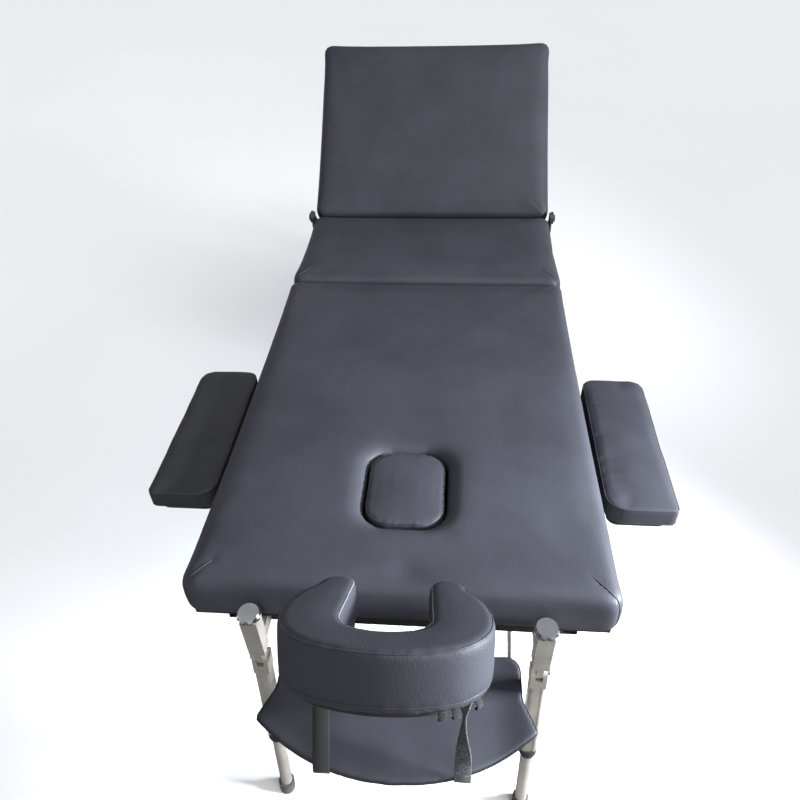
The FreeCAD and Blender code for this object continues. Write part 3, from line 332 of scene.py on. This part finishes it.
def dress_cad_nodes():
    """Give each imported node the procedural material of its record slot."""
    slots = {part["node"]: part["material_slot"] for part in frame["record"]["subparts"]}
    for name, obj in cad.items():
        obj.data.materials.clear()
        obj.data.materials.append(MATERIAL[slots[name]])


# ---------------------------------------------------------------- mesh helpers

def add_piece(name, mesh, material, body):
    obj = bpy.data.objects.new(name, mesh)
    scene.collection.objects.link(obj)
    if material:
        mesh.materials.clear()
        mesh.materials.append(MATERIAL[material])
    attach(obj, body)
    return obj


def shade(mesh):
    mesh.polygons.foreach_set("use_smooth", [True] * len(mesh.polygons))
    mesh.update()


def smooth(form, verts, rounds):
    for _ in range(rounds):
        bmesh.ops.smooth_vert(form, verts=verts, factor=0.5, use_axis_x=True, use_axis_y=True,
                              use_axis_z=True)


def remeshed(source, voxel, rounds=2):
    """An even skin over a packed soft node or a closed mesh, as a new mesh."""
    mesh = cad[source].data.copy() if isinstance(source, str) else source
    skin = bmesh.new()
    skin.from_mesh(mesh)
    bmesh.ops.remove_doubles(skin, verts=skin.verts, dist=1e-5)
    skin.to_mesh(mesh)
    skin.free()
    obj = bpy.data.objects.new("remesh", mesh)
    scene.collection.objects.link(obj)
    change = obj.modifiers.new("Remesh", "REMESH")
    change.mode = "VOXEL"
    change.voxel_size = voxel
    bpy.context.view_layer.update()
    graph = bpy.context.evaluated_depsgraph_get()
    even = bpy.data.meshes.new_from_object(obj.evaluated_get(graph))
    bpy.data.objects.remove(obj)
    bpy.data.meshes.remove(mesh)
    even.materials.clear()
    skin = bmesh.new()
    skin.from_mesh(even)
    smooth(skin, skin.verts, rounds)
    skin.to_mesh(even)
    skin.free()
    shade(even)
    return even


def swell(obj, held, cap, pressure, calm=6, frames=20):
    """Blow up a closed skin as cloth. held(co) is 0 where it is free and 1 where it stays; each
    point then moves at most cap from where it began, and calm rounds even out the finest creases."""
    mesh = obj.data
    start = [v.co.copy() for v in mesh.vertices]
    group = obj.vertex_groups.new(name="held")
    for v in mesh.vertices:
        weight = held(v.co)
        if weight > 0:
            group.add([v.index], weight, "REPLACE")
    cloth = obj.modifiers.new("Cloth", "CLOTH")
    settings = cloth.settings
    settings.quality = 4
    settings.mass = 0.35
    settings.tension_stiffness = 25
    settings.compression_stiffness = 25
    settings.shear_stiffness = 12
    settings.bending_stiffness = 18
    settings.use_pressure = True
    settings.uniform_pressure_force = pressure
    settings.effector_weights.gravity = 0
    settings.vertex_group_mass = "held"
    cloth.collision_settings.use_collision = False
    cloth.point_cache.frame_start = 1
    cloth.point_cache.frame_end = frames
    for number in range(1, frames + 1):
        scene.frame_set(number)
    graph = bpy.context.evaluated_depsgraph_get()
    moved = [v.co.copy() for v in obj.evaluated_get(graph).data.vertices]
    obj.modifiers.remove(cloth)
    obj.vertex_groups.clear()
    ways = [new - old for old, new in zip(start, moved)]
    steps = np.array([way * min(1.0, cap / max(way.length, 1e-9)) for way in ways])
    edges = np.array([e.vertices[:] for e in mesh.edges])
    degree = np.bincount(edges.ravel(), minlength=len(steps))[:, None]
    for _ in range(calm):
        around = np.zeros_like(steps)
        np.add.at(around, edges[:, 0], steps[edges[:, 1]])
        np.add.at(around, edges[:, 1], steps[edges[:, 0]])
        steps = (steps + around / degree) / 2
    for vertex, old, step in zip(mesh.vertices, start, steps):
        vertex.co = old + Vector(step)
    scene.frame_set(1)
    mesh.update()


def nearest_surface(mesh):
    return BVHTree.FromPolygons([v.co for v in mesh.vertices], [p.vertices for p in mesh.polygons])


def spaced(points, step, closed=False):
    """Points along a polyline at an even spacing."""
    points = [Vector(p) for p in points]
    if closed:
        points.append(points[0])
    lengths = [(b - a).length for a, b in zip(points, points[1:])]
    total = sum(lengths)
    count = max(2, round(total / step))
    result = []
    for number in range(count if closed else count + 1):
        left = total * number / count
        index = 0
        while left > lengths[index] and index < len(lengths) - 1:
            left -= lengths[index]
            index += 1
        share = min(1, left / lengths[index]) if lengths[index] else 0
        result.append(points[index].lerp(points[index + 1], share))
    return result


def smoothed(points, rounds=2):
    """Corner-cut an open polyline into a soft line."""
    for _ in range(rounds):
        cut = []
        for a, b in zip(points, points[1:]):
            cut += [a.lerp(b, 0.25), a.lerp(b, 0.75)]
        points = [points[0]] + cut + [points[-1]]
    return points


def tube_mesh(name, points, normals, radius, closed, sides=6, flat=0.8):
    """A thin flattened tube along points that lie on a skin with these normals."""
    mesh = bpy.data.meshes.new(name)
    form = bmesh.new()
    rings = []
    last = len(points)
    for index, point in enumerate(points):
        ahead = points[(index + 1) % last] if closed or index + 1 < last else point
        behind = points[index - 1] if closed or index > 0 else point
        along = (ahead - behind).normalized()
        side = along.cross(normals[index])
        if side.length < 1e-4:
            side = along.cross(Vector((1, 0, 0)))
        side.normalize()
        up = side.cross(along).normalized()
        taper = 1.0 if closed else min(1.0, 0.25 + 0.75 * min(index, last - 1 - index) / 2)
        ring = []
        for number in range(sides):
            angle = 2 * math.pi * number / sides
            offset = side * math.cos(angle) + up * math.sin(angle) * flat
            ring.append(form.verts.new(point + offset * radius * taper))
        rings.append(ring)
    pairs = list(zip(rings, rings[1:])) + ([(rings[-1], rings[0])] if closed else [])
    for one, two in pairs:
        for number in range(sides):
            nxt = (number + 1) % sides
            form.faces.new((one[number], one[nxt], two[nxt], two[number]))
    if not closed:
        form.faces.new(rings[0][::-1])
        form.faces.new(rings[-1])
    form.normal_update()
    bmesh.ops.recalc_face_normals(form, faces=form.faces)
    form.to_mesh(mesh)
    form.free()
    shade(mesh)
    return mesh


def lay_seam(name, skin, points, radius, material, body, closed=False, lift=0.25):
    """A raised seam or sewn cord that follows the nearest line on a cushion."""
    tree = nearest_surface(skin.data)
    line, normals = [], []
    for point in spaced(points, 0.006, closed):
        place, normal, _, _ = tree.find_nearest(point)
        line.append(place + normal * radius * lift)
        normals.append(normal)
    add_piece(name, tube_mesh(name, line, normals, radius, closed), material, body)


def press_line(skin, points, reach, depth, pucker, pitch, seed, closed=False):
    """Draw a skin in along a seam, with small puckers that fade away from it."""
    mesh = skin.data
    tree = nearest_surface(mesh)
    line = [tree.find_nearest(point)[0] for point in spaced(points, 0.005, closed)]
    lines = BVHTree.FromPolygons(
        [p for q in line for p in (q, q + Vector((0, 0, 1e-6)), q + Vector((1e-6, 0, 0)))],
        [(3 * i, 3 * i + 1, 3 * i + 2) for i in range(len(line))])
    normals = [v.normal.copy() for v in mesh.vertices]
    for vertex, normal in zip(mesh.vertices, normals):
        found = lines.find_nearest(vertex.co, reach)
        if found[0] is None:
            continue
        near = 1 - found[3] / reach
        x, y, z = vertex.co
        wave = noise.noise(Vector((x / pitch + seed, y / pitch, z / pitch * 0.5)))
        vertex.co -= normal * (depth * near ** 3 + pucker * near * wave)
    mesh.update()


def mitre_line(side, edge, way):
    """The seam down a pad's corner at its end: way points from that end into the pad."""
    return [(side * 0.292, edge + way * 0.050, PAD_TOP), (side * 0.332, edge + way * 0.009, PAD_TOP - 0.006),
            (side * 0.334, edge + way * 0.0075, PAD_BASE + 0.012)]


def sew_mitre(name, skin, line, seed, body):
    press_line(skin, line, 0.012, 0.0012, 0.0008, 0.012, seed)
    lay_seam(name, skin, line, 0.001, "seam", body)


def ripple(skin, amount, pitch, seed, where=lambda co: 1.0):
    """Low, broad unevenness of upholstery."""
    mesh = skin.data
    normals = [v.normal.copy() for v in mesh.vertices]
    for vertex, normal in zip(mesh.vertices, normals):
        share = where(vertex.co)
        if share > 0:
            wave = noise.noise(vertex.co / pitch + Vector((seed, 0, 0)))
            vertex.co += normal * wave * amount * share
    mesh.update()


def rise(value, low, high):
    share = min(1.0, max(0.0, (value - low) / (high - low)))
    return share * share * (3 - 2 * share)


def rounded_distance(co, centre, half_x, half_y, corner):
    """How far a point lies outside a rounded rectangle seen from above, and the way out."""
    x, y = co.x - centre.x, co.y - centre.y
    over_x, over_y = abs(x) - (half_x - corner), abs(y) - (half_y - corner)
    sign = Vector((math.copysign(1, x), math.copysign(1, y), 0))
    if over_x > 0 and over_y > 0:
        length = math.hypot(over_x, over_y)
        return length - corner, Vector((over_x / length * sign.x, over_y / length * sign.y, 0))
    if over_x > over_y:
        return over_x - corner, Vector((sign.x, 0, 0))
    return over_y - corner, Vector((0, sign.y, 0))


def refine(skin, near):
    """Halve the edges of a skin where near(co) holds, and even them out."""
    form = bmesh.new()
    form.from_mesh(skin.data)
    edges = [e for e in form.edges if near((e.verts[0].co + e.verts[1].co) / 2)]
    bmesh.ops.subdivide_edges(form, edges=edges, cuts=1, use_grid_fill=True)
    smooth(form, [v for v in form.verts if near(v.co)], 1)
    form.to_mesh(skin.data)
    form.free()
    shade(skin.data)


def arc_points(first, through, last, count=8):
    """Points along the arc from first to last, in the plane."""
    (ax, ay), (bx, by), (cx, cy) = first, through, last
    span = 2 * (ax * (by - cy) + bx * (cy - ay) + cx * (ay - by))
    a, b, c = ax * ax + ay * ay, bx * bx + by * by, cx * cx + cy * cy
    x = (a * (by - cy) + b * (cy - ay) + c * (ay - by)) / span
    y = (a * (cx - bx) + b * (ax - cx) + c * (bx - ax)) / span
    radius = math.hypot(ax - x, ay - y)
    start = math.atan2(ay - y, ax - x)
    turn = (math.atan2(cy - y, cx - x) - start) % (2 * math.pi)
    if (math.atan2(by - y, bx - x) - start) % (2 * math.pi) > turn:
        turn -= 2 * math.pi
    return [(x + radius * math.cos(start + turn * n / count), y + radius * math.sin(start + turn * n / count))
            for n in range(count + 1)]


# ---------------------------------------------------------------- cushions

def near_cushion():
    skin = add_piece("near_cushion", remeshed("near_pad", PAD_VOXEL), "vinyl", "near_half")
    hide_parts("near_pad")

    def from_hole(co):
        return rounded_distance(co, HOLE, *HOLE_SIZE)[0]

    def held(co):
        low = 1 - rise(co.z, PAD_BASE + 0.004, PAD_BASE + 0.016)
        fold = rise(co.y, FOLD - 0.012, FOLD - 0.002)
        hole = 1 - rise(from_hole(co), 0.004, 0.02)
        return max(low, fold, hole)

    swell(skin, held, *PAD_SWELL)
    refine(skin, lambda co: -0.012 < from_hole(co) < 0.036 and co.z > PAD_TOP - 0.04)
    for vertex in skin.data.vertices:
        out = from_hole(vertex.co)
        if out < RIM_REACH and vertex.co.z > PAD_TOP - 0.03:
            share = 1 - max(0.0, out) / RIM_REACH
            vertex.co.z -= RIM_DROP * share ** 2.2 * rise(vertex.co.z, PAD_TOP - 0.03, PAD_TOP - 0.006)
    for side in (-1, 1):
        corner = [(side * 0.292, NEAR_END + 0.048, PAD_TOP), (side * 0.331, NEAR_END + 0.009, PAD_TOP - 0.006),
                  (side * 0.334, NEAR_END + 0.006, PAD_BASE + 0.012)]
        press_line(skin, corner, 0.014, 0.0016, 0.0012, 0.012, side)
        lay_seam(f"near_corner_seam_{side + 2}", skin, corner, 0.0011, "seam", "near_half")
        sew_mitre(f"near_fold_seam_{side + 2}", skin, mitre_line(side, FOLD, -1), side + 9, "near_half")


def mid_cushion():
    skin = add_piece("mid_cushion", remeshed("mid_pad", PAD_VOXEL), "vinyl", "far_half")
    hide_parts("mid_pad")

    def held(co):
        low = 1 - rise(co.z, PAD_BASE + 0.004, PAD_BASE + 0.016)
        ends = max(1 - rise(co.y, FOLD + 0.002, FOLD + 0.012), rise(co.y, MID_END - 0.012, MID_END - 0.002))
        return max(low, ends)

    swell(skin, held, *PAD_SWELL)
    for side in (-1, 1):
        for tag, end, way in (("fold", FOLD, 1), ("back", MID_END, -1)):
            line = mitre_line(side, end, way)
            sew_mitre(f"mid_{tag}_seam_{side + 2}", skin, line, side + 3, "far_half")


def flat_back(co):
    """A point of the raised back, turned down flat about its hinge."""
    return Matrix.Rotation(-BACK_ANGLE, 3, "X") @ (co - BACK_AXIS) + BACK_AXIS


def raised_back(co):
    return Matrix.Rotation(BACK_ANGLE, 3, "X") @ (Vector(co) - BACK_AXIS) + BACK_AXIS


def back_cushion():
    skin = add_piece("back_cushion", remeshed("back_pad", PAD_VOXEL), "vinyl", "backrest")
    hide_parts("back_pad")

    def held(co):
        flat = flat_back(co)
        low = 1 - rise(flat.z, PAD_BASE + 0.004, PAD_BASE + 0.016)
        return max(low, 1 - rise(flat.y, MID_END + 0.002, MID_END + 0.012))

    swell(skin, held, *PAD_SWELL)
    for side in (-1, 1):
        for tag, edge, way in (("low", MID_END + 0.002, 1), ("top", BACK_END, -1)):
            line = [raised_back(p) for p in mitre_line(side, edge, way)]
            sew_mitre(f"back_{tag}_seam_{side + 2}", skin, line, side + 5, "backrest")


def rounded_loop(centre, half_x, half_y, corner, z, count=8):
    points = []
    for cx, cy, first in ((1, 1, 0), (-1, 1, 90), (-1, -1, 180), (1, -1, 270)):
        for number in range(count + 1):
            angle = math.radians(first + 90 * number / count)
            points.append(Vector((centre[0] + cx * (half_x - corner) + corner * math.cos(angle),
                                  centre[1] + cy * (half_y - corner) + corner * math.sin(angle), z)))
    return points


def plug_cushion():
    skin = add_piece("plug_cushion", remeshed("face_plug", FINE_VOXEL, 1), "vinyl", "plug")
    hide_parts("face_plug")
    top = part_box("face_plug")[1][2]
    roll, full = 0.014, 0.040
    for vertex in skin.data.vertices:
        out, way = rounded_distance(vertex.co, HOLE, *PLUG_SIZE)
        inset = -out
        if vertex.co.z > top - 0.016 and 0 < inset < full:
            tight = inset * 0.45
            if inset >= roll:
                tight = roll * 0.45 + (inset - roll) * (full - roll * 0.45) / (full - roll)
            vertex.co += way * (inset - tight) * rise(vertex.co.z, top - 0.016, top - 0.010)

    def held(co):
        low = 1 - rise(co.z, top - 0.03, top - 0.012)
        return max(low, rise(rounded_distance(co, HOLE, *PLUG_SIZE)[0], -0.010, -0.002))

    swell(skin, held, 0.003, 3.0)
    rim = rounded_loop(HOLE, 0.0665, 0.0815, 0.0405, top - 0.004)
    press_line(skin, rim, 0.010, 0.0006, 0.0011, 0.009, 4.0, closed=True)
    lay_seam("plug_seam", skin, rim, 0.0008, "seam", "plug", True)


def cut_corners(corners, step):
    """A closed outline whose corners (x, y, cut) are rounded off, as evenly spaced points."""
    points = []
    count = len(corners)
    for index, (x, y, cut) in enumerate(corners):
        here = Vector((x, y, 0))
        before, after = (Vector((*corners[(index + way) % count][:2], 0)) for way in (-1, 1))
        one = here + (before - here).normalized() * cut
        two = here + (after - here).normalized() * cut
        for number in range(7):
            share = number / 6
            points.append(one.lerp(here, share).lerp(here.lerp(two, share), share))
    return spaced(points, step, True)


def armrest_cushion(name, side):
    """Boxed armrest pad: upright walls, a crisp seamed top edge and a low crown."""
    node = f"armrest_cushion_{name}"
    low, high = (Vector(p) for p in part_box(node))
    inner, outer = sorted((low.x, high.x), key=abs)
    inner, outer = inner - side * 0.001, outer + side * 0.002
    near, far = low.y - 0.001, high.y + 0.003
    corners = [(inner, near, 0.042), (outer, near, 0.010), (outer, far, 0.034), (inner, far, 0.026)]
    outline = cut_corners(corners if side > 0 else corners[::-1], FINE_VOXEL)
    base, top, crown = low.z, high.z - 0.0035, 0.0035
    middle_x, half = (inner + outer) / 2, abs(outer - inner) / 2
    form = bmesh.new()
    rings = []

    def ring(place):
        rings.append([form.verts.new(place(p)) for p in outline])

    def towards(point, share):
        spine = Vector((middle_x, min(far - half, max(near + half, point.y)), 0))
        return point.lerp(spine, share)

    for share, lift in ((0.9, 0), (0.6, 0), (0.3, 0), (0.08, 0), (0.02, 0.001), (0.0, 0.005)):
        ring(lambda p: towards(p, share) + Vector((0, 0, base + lift)))
    for number in range(1, 9):
        ring(lambda p: p + Vector((0, 0, base + 0.005 + (top - 0.008 - base) * number / 8)))
    for share, z in ((0.012, top - 0.0015), (0.035, top - 0.0004), (0.07, top)):
        ring(lambda p: towards(p, share) + Vector((0, 0, z)))
    for share in (0.13, 0.2, 0.29, 0.38, 0.48, 0.58, 0.68, 0.78, 0.88, 0.96):
        ring(lambda p: towards(p, share) + Vector((0, 0, top + crown * (1 - (1 - share) ** 2))))
    count = len(outline)
    for one, two in zip(rings, rings[1:]):
        for number in range(count):
            nxt = (number + 1) % count
            form.faces.new((one[number], one[nxt], two[nxt], two[number]))
    form.faces.new(rings[0][::-1])
    form.faces.new(rings[-1])
    bmesh.ops.triangulate(form, faces=[f for f in form.faces if len(f.verts) > 4])
    bmesh.ops.recalc_face_normals(form, faces=form.faces)
    mesh = bpy.data.meshes.new(node)
    form.to_mesh(mesh)
    form.free()
    mesh = remeshed(mesh, FINE_VOXEL, 1)
    # The left pad takes the darker vinyl copy as painted shade; the right pad keeps the plain vinyl.
    material = "vinyl_arm_painted_shade" if side < 0 else "vinyl"
    skin = add_piece(f"armrest_pad_{name}", mesh, material, f"armrest_{name}")
    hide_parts(node)
    pleat = 0.0016 if side > 0 else 0.0007
    for vertex in mesh.vertices:
        co = vertex.co
        reach = abs(co.x - inner)
        if co.z > top - 0.004 and reach > 0.004:
            fade = 1 - rise(reach, 0.008, 0.050)
            wave = max(0.0, noise.noise(Vector((co.y / 0.011, 0.4 * side, 7.0))))
            co.z -= pleat * wave * fade
    ripple(skin, 0.0012, 0.05, 3.0 + side, lambda co: rise(co.z, base + 0.006, base + 0.02))

    def held(co):
        return 1 - rise(co.z, base + 0.002, base + 0.010)

    swell(skin, held, 0.0016, 2.0)
    upper = [Vector((p.x, p.y, top - 0.001)) for p in outline]
    lower = [Vector((p.x, p.y, base + 0.007)) for p in outline]
    lay_seam(f"armrest_top_seam_{name}", skin, upper, 0.0011, "seam", f"armrest_{name}", True)
    lay_seam(f"armrest_low_seam_{name}", skin, lower, 0.0009, "seam", f"armrest_{name}", True)


def tilt_head(co):
    """A point drawn level about the headrest's axis, turned to the tilt it has in use."""
    return Matrix.Rotation(-HEAD_TILT, 3, "X") @ Vector(co) + HEAD_AXIS


def level_head(co):
    return Matrix.Rotation(HEAD_TILT, 3, "X") @ (co - HEAD_AXIS)


def bow(reach, corner, lowest, grow):
    """Half of a rounded front: its start at the side and the points its two arcs pass."""
    tilt, end = math.radians(10), math.radians(70)
    start = lowest + corner * math.sin(end) + (reach - corner * (1 - math.cos(end))) * math.tan(tilt)
    centre, radius = reach - corner, corner + grow
    return [(centre + radius, start),
            (centre + radius * math.cos(end / 2), start - radius * math.sin(end / 2)),
            (centre + radius * math.cos(end), start - radius * math.sin(end)),
            (0.0, lowest - grow)]


def head_outline(inset):
    """Right half of the headrest's outline, drawn level: outside from the front, inside from the tip."""
    front, back, tip_round = -0.194, 0.015, 0.024
    outer = bow(0.136, 0.085, front, -inset)
    inner = bow(0.056, 0.030, front + 0.056, inset)
    tip, mouth, bend = back - inset, 0.051 + inset, tip_round - inset
    side = (0.103 - 0.75 * inset, back - tip_round * 1.25 - 0.55 * inset)
    swing = (outer[0][0] - (outer[0][0] - side[0]) * 0.26, outer[0][1] + (side[1] - outer[0][1]) * 0.54)
    cheek = (side[0] - tip_round * 0.27, back - tip_round * 0.38 - 0.7 * inset)
    end = (0.051 + tip_round, tip)
    knee = 1 - math.sqrt(0.5)
    turn = (mouth + bend * knee, tip - bend * knee)
    mirror = (-outer[2][0], outer[2][1]), (-inner[2][0], inner[2][1])
    outside = arc_points(mirror[0], outer[3], outer[2], 16)[8:]
    outside += arc_points(outer[2], outer[1], outer[0])[1:]
    outside += arc_points(outer[0], swing, side)[1:] + arc_points(side, cheek, end)[1:]
    inside = arc_points(end, turn, (mouth, tip - bend)) + arc_points(inner[0], inner[1], inner[2])
    inside += arc_points(inner[2], inner[3], mirror[1], 16)[1:9]
    return outside, inside


def head_line(half, z):
    """A whole line across the headrest from its right half, turned to the tilt in use."""
    points = [(-x, y) for x, y in half[::-1]] + list(half[1:] if abs(half[0][0]) < 1e-6 else half)
    return [tilt_head((x, y, z)) for x, y in points]


def head_cushion():
    mesh = remeshed("headrest_cushion", 0.004, 1)
    # The headrest gets the darker vinyl copy, whose darkness is painted shade.
    skin = add_piece("head_cushion", mesh, "vinyl_grainy_painted_shade", "headrest")
    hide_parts("headrest_cushion")
    levels = [level_head(v.co).z for v in skin.data.vertices]
    low, high = min(levels), max(levels)

    def held(co):
        return 1 - rise(level_head(co).z, low + 0.004, low + 0.014)

    swell(skin, held, 0.0025, 3.0)
    outside, inside = head_outline(0.003)
    top_line = head_line(outside, high - 0.003)
    bay_line = head_line(inside[::-1], high - 0.003)
    foot_line = head_line(head_outline(0.0)[0], low + 0.009)
    press_line(skin, top_line, 0.012, 0.0010, 0.0007, 0.011, 1.0)
    press_line(skin, bay_line, 0.010, 0.0008, 0.0005, 0.011, 2.0)
    press_line(skin, foot_line, 0.010, 0.0008, 0.0010, 0.013, 3.0)
    lay_seam("head_top_seam", skin, top_line, 0.0012, "seam", "headrest")
    # The pale piping round the opening is a painted highlight along its rim.
    lay_seam("head_bay_seam", skin, bay_line, 0.0011, "piping_painted_highlight", "headrest")
    lay_seam("head_foot_seam", skin, foot_line, 0.0009, "seam", "headrest")
    head_tabs(low)


def head_tabs(low):
    """Three folded ends of tape sewn under the right of the headrest's lower edge."""
    for number, angle in enumerate((-74, -62, -38)):
        turn = math.radians(angle)
        out = Vector((math.cos(turn), math.sin(turn), 0))
        edge = Vector((0.051, -0.100, low)) + out * 0.083
        path = [edge + out * a + Vector((0, 0, b)) for a, b in (
            (-0.016, 0.0015), (-0.004, 0.001), (0.001, -0.003), (0.0015, -0.007), (0.0, -0.0095),
            (-0.003, -0.009))]
        path = [tilt_head(p) for p in smoothed(path, 2)]
        across = tilt_head(out.cross(Vector((0, 0, 1)))) - HEAD_AXIS
        name = f"head_tab_{number + 1}"
        mesh, length = strip_mesh(name, path, TAB_WIDTH, TAB_THICKNESS, across, lambda share: 0.0)
        piece = add_piece(name, mesh, "webbing", "headrest")


# ---------------------------------------------------------------- shelf and straps

def shelf_panel():
    """Padded shelf: its sides curl up a little, the right one more, with a dark binding round its edge."""
    mesh = remeshed("arm_shelf", FINE_VOXEL, 1)
    skin = add_piece("shelf_panel", mesh, "vinyl", "headrest_carrier")
    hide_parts("arm_shelf")
    low, high = (Vector(p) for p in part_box("arm_shelf"))
    edge = [skin.data.vertices[i].co.copy() for i in
            geometry.convex_hull_2d([v.co.xy for v in skin.data.vertices])]

    def bend(co):
        out = rise(abs(co.x), 0.13, 0.219)
        curl = 0.009 if co.x > 0 else 0.004
        co.z += curl * out * out - 0.003 * (1 - out) * rise(co.y, high.y, low.y)

    for vertex in skin.data.vertices:
        bend(vertex.co)
    ripple(skin, 0.0012, 0.07, 3.0)
    for point in edge:
        point.z = high.z - 0.0035
        bend(point)
    lay_seam("shelf_binding", skin, edge, 0.0022, "binding", "headrest_carrier", True, 0.1)
    return skin


def strip_mesh(name, path, width, thickness, across, twist):
    """A flat tape along a path. across is its width's direction, turned by twist(share)."""
    mesh = bpy.data.meshes.new(name)
    form = bmesh.new()
    layer = form.loops.layers.uv.new("UVMap")
    section = [(-0.5, -0.3), (-0.46, -0.5), (0, -0.5), (0.46, -0.5), (0.5, -0.3),
               (0.5, 0.3), (0.46, 0.5), (0, 0.5), (-0.46, 0.5), (-0.5, 0.3)]
    rings, run = [], [0.0]
    for index, point in enumerate(path):
        along = (path[min(index + 1, len(path) - 1)] - path[max(index - 1, 0)]).normalized()
        side = Matrix.Rotation(twist(index / (len(path) - 1)), 3, along) @ across
        side = (side - along * side.dot(along)).normalized()
        up = side.cross(along)
        rings.append([form.verts.new(point + side * width * a + up * thickness * b) for a, b in section])
        if index:
            run.append(run[-1] + (point - path[index - 1]).length)
    count = len(section)
    for index, (one, two) in enumerate(zip(rings, rings[1:])):
        for number in range(count):
            nxt = (number + 1) % count
            face = form.faces.new((one[number], one[nxt], two[nxt], two[number]))
            values = ((number, index), (nxt, index), (nxt, index + 1), (number, index + 1))
            for loop, (place, row) in zip(face.loops, values):
                loop[layer].uv = (section[place][0] * width * 10, run[row] * 10)
    form.faces.new(rings[0][::-1])
    form.faces.new(rings[-1])
    bmesh.ops.recalc_face_normals(form, faces=form.faces)
    form.to_mesh(mesh)
    form.free()
    shade(mesh)
    return mesh, run[-1]


def straps():
    """Webbing slings from the headrest's base round the shelf, the right one twisted at its top."""
    for tag, side, material in (("left", -1, "webbing"), ("right", 1, "loop_tape")):
        corners = [(-1.0086, 0.4405), (-1.0225, 0.4405), (-1.0840, 0.3453), (-1.0840, 0.3335),
                   (-0.8885, 0.3335), (-0.8885, 0.4215), (-0.9135, 0.4215)]
        line = [Vector((side * STRAP_X, FOLD + y, z)) for y, z in corners]
        dense = []
        for a, b in zip(line, line[1:]):
            share = min(0.4, 0.004 / (b - a).length)
            dense += [a, a.lerp(b, share), a.lerp(b, 1 - share)]
        dense.append(line[-1])
        path = spaced(smoothed(dense, 2), 0.004)
        most = math.radians(82) if tag == "right" else 0.0

        def twist(share):
            return most * rise(share, 0.0, 0.05) * (1 - rise(share, 0.07, 0.27))

        mesh, length = strip_mesh(f"strap_{tag}", path, STRAP_WIDTH, STRAP_THICKNESS, Vector((1, 0, 0)), twist)
        piece = add_piece(f"strap_{tag}", mesh, material, "headrest_carrier")
    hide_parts("shelf_straps")


# ---------------------------------------------------------------- floor and finish

def floor_plane():
    mesh = bpy.data.meshes.new("floor")
    corners = [(FLOOR_REACH * x, FLOOR_REACH * y, 0) for x, y in ((-1, -1), (1, -1), (1, 1), (-1, 1))]
    mesh.from_pydata(corners, [], [(0, 1, 2, 3)])
    material, tree, shader = start_material("floor", (0.9, 0.9, 0.9), 0.9)
    cloud = texture(tree, "Noise", 0.6, Detail=1.0)
    ramp(tree, cloud, [(0.3, grey(0.885)), (0.7, grey(0.905))], shader.inputs["Base Color"])
    shader.inputs["Specular IOR Level"].default_value = 0.1
    mesh.materials.append(material)
    floor = bpy.data.objects.new("floor", mesh)
    scene.collection.objects.link(floor)


def dark_card():
    """A dark card on the floor that only reflections see, so that walls and metal mirror no bare white."""
    form = bmesh.new()
    bmesh.ops.create_grid(form, x_segments=8, y_segments=8, size=1.0,
                          matrix=Matrix.Translation((-0.1, -0.35, 0.004)) @ Matrix.Diagonal((1.5, 2.6, 1, 1)))
    mesh = bpy.data.meshes.new("dark_card")
    form.to_mesh(mesh)
    form.free()
    material, tree, shader = start_material("dark_card", (0.05, 0.048, 0.046), 0.9)
    cloud = texture(tree, "Noise", 1.2, Detail=2.0)
    ramp(tree, cloud, [(0.3, grey(0.045)), (0.7, grey(0.075))], shader.inputs["Base Color"])
    mesh.materials.append(material)
    card = bpy.data.objects.new("dark_card", mesh)
    scene.collection.objects.link(card)
    card.visible_camera = False
    card.visible_shadow = False
    card.visible_diffuse = False


set_camera()
set_light()
dark_card()
floor_plane()
dress_cad_nodes()
near_cushion()
mid_cushion()
back_cushion()
plug_cushion()
armrest_cushion("left", -1)
armrest_cushion("right", 1)
head_cushion()
shelf = shelf_panel()
straps()

bpy.context.view_layer.update()
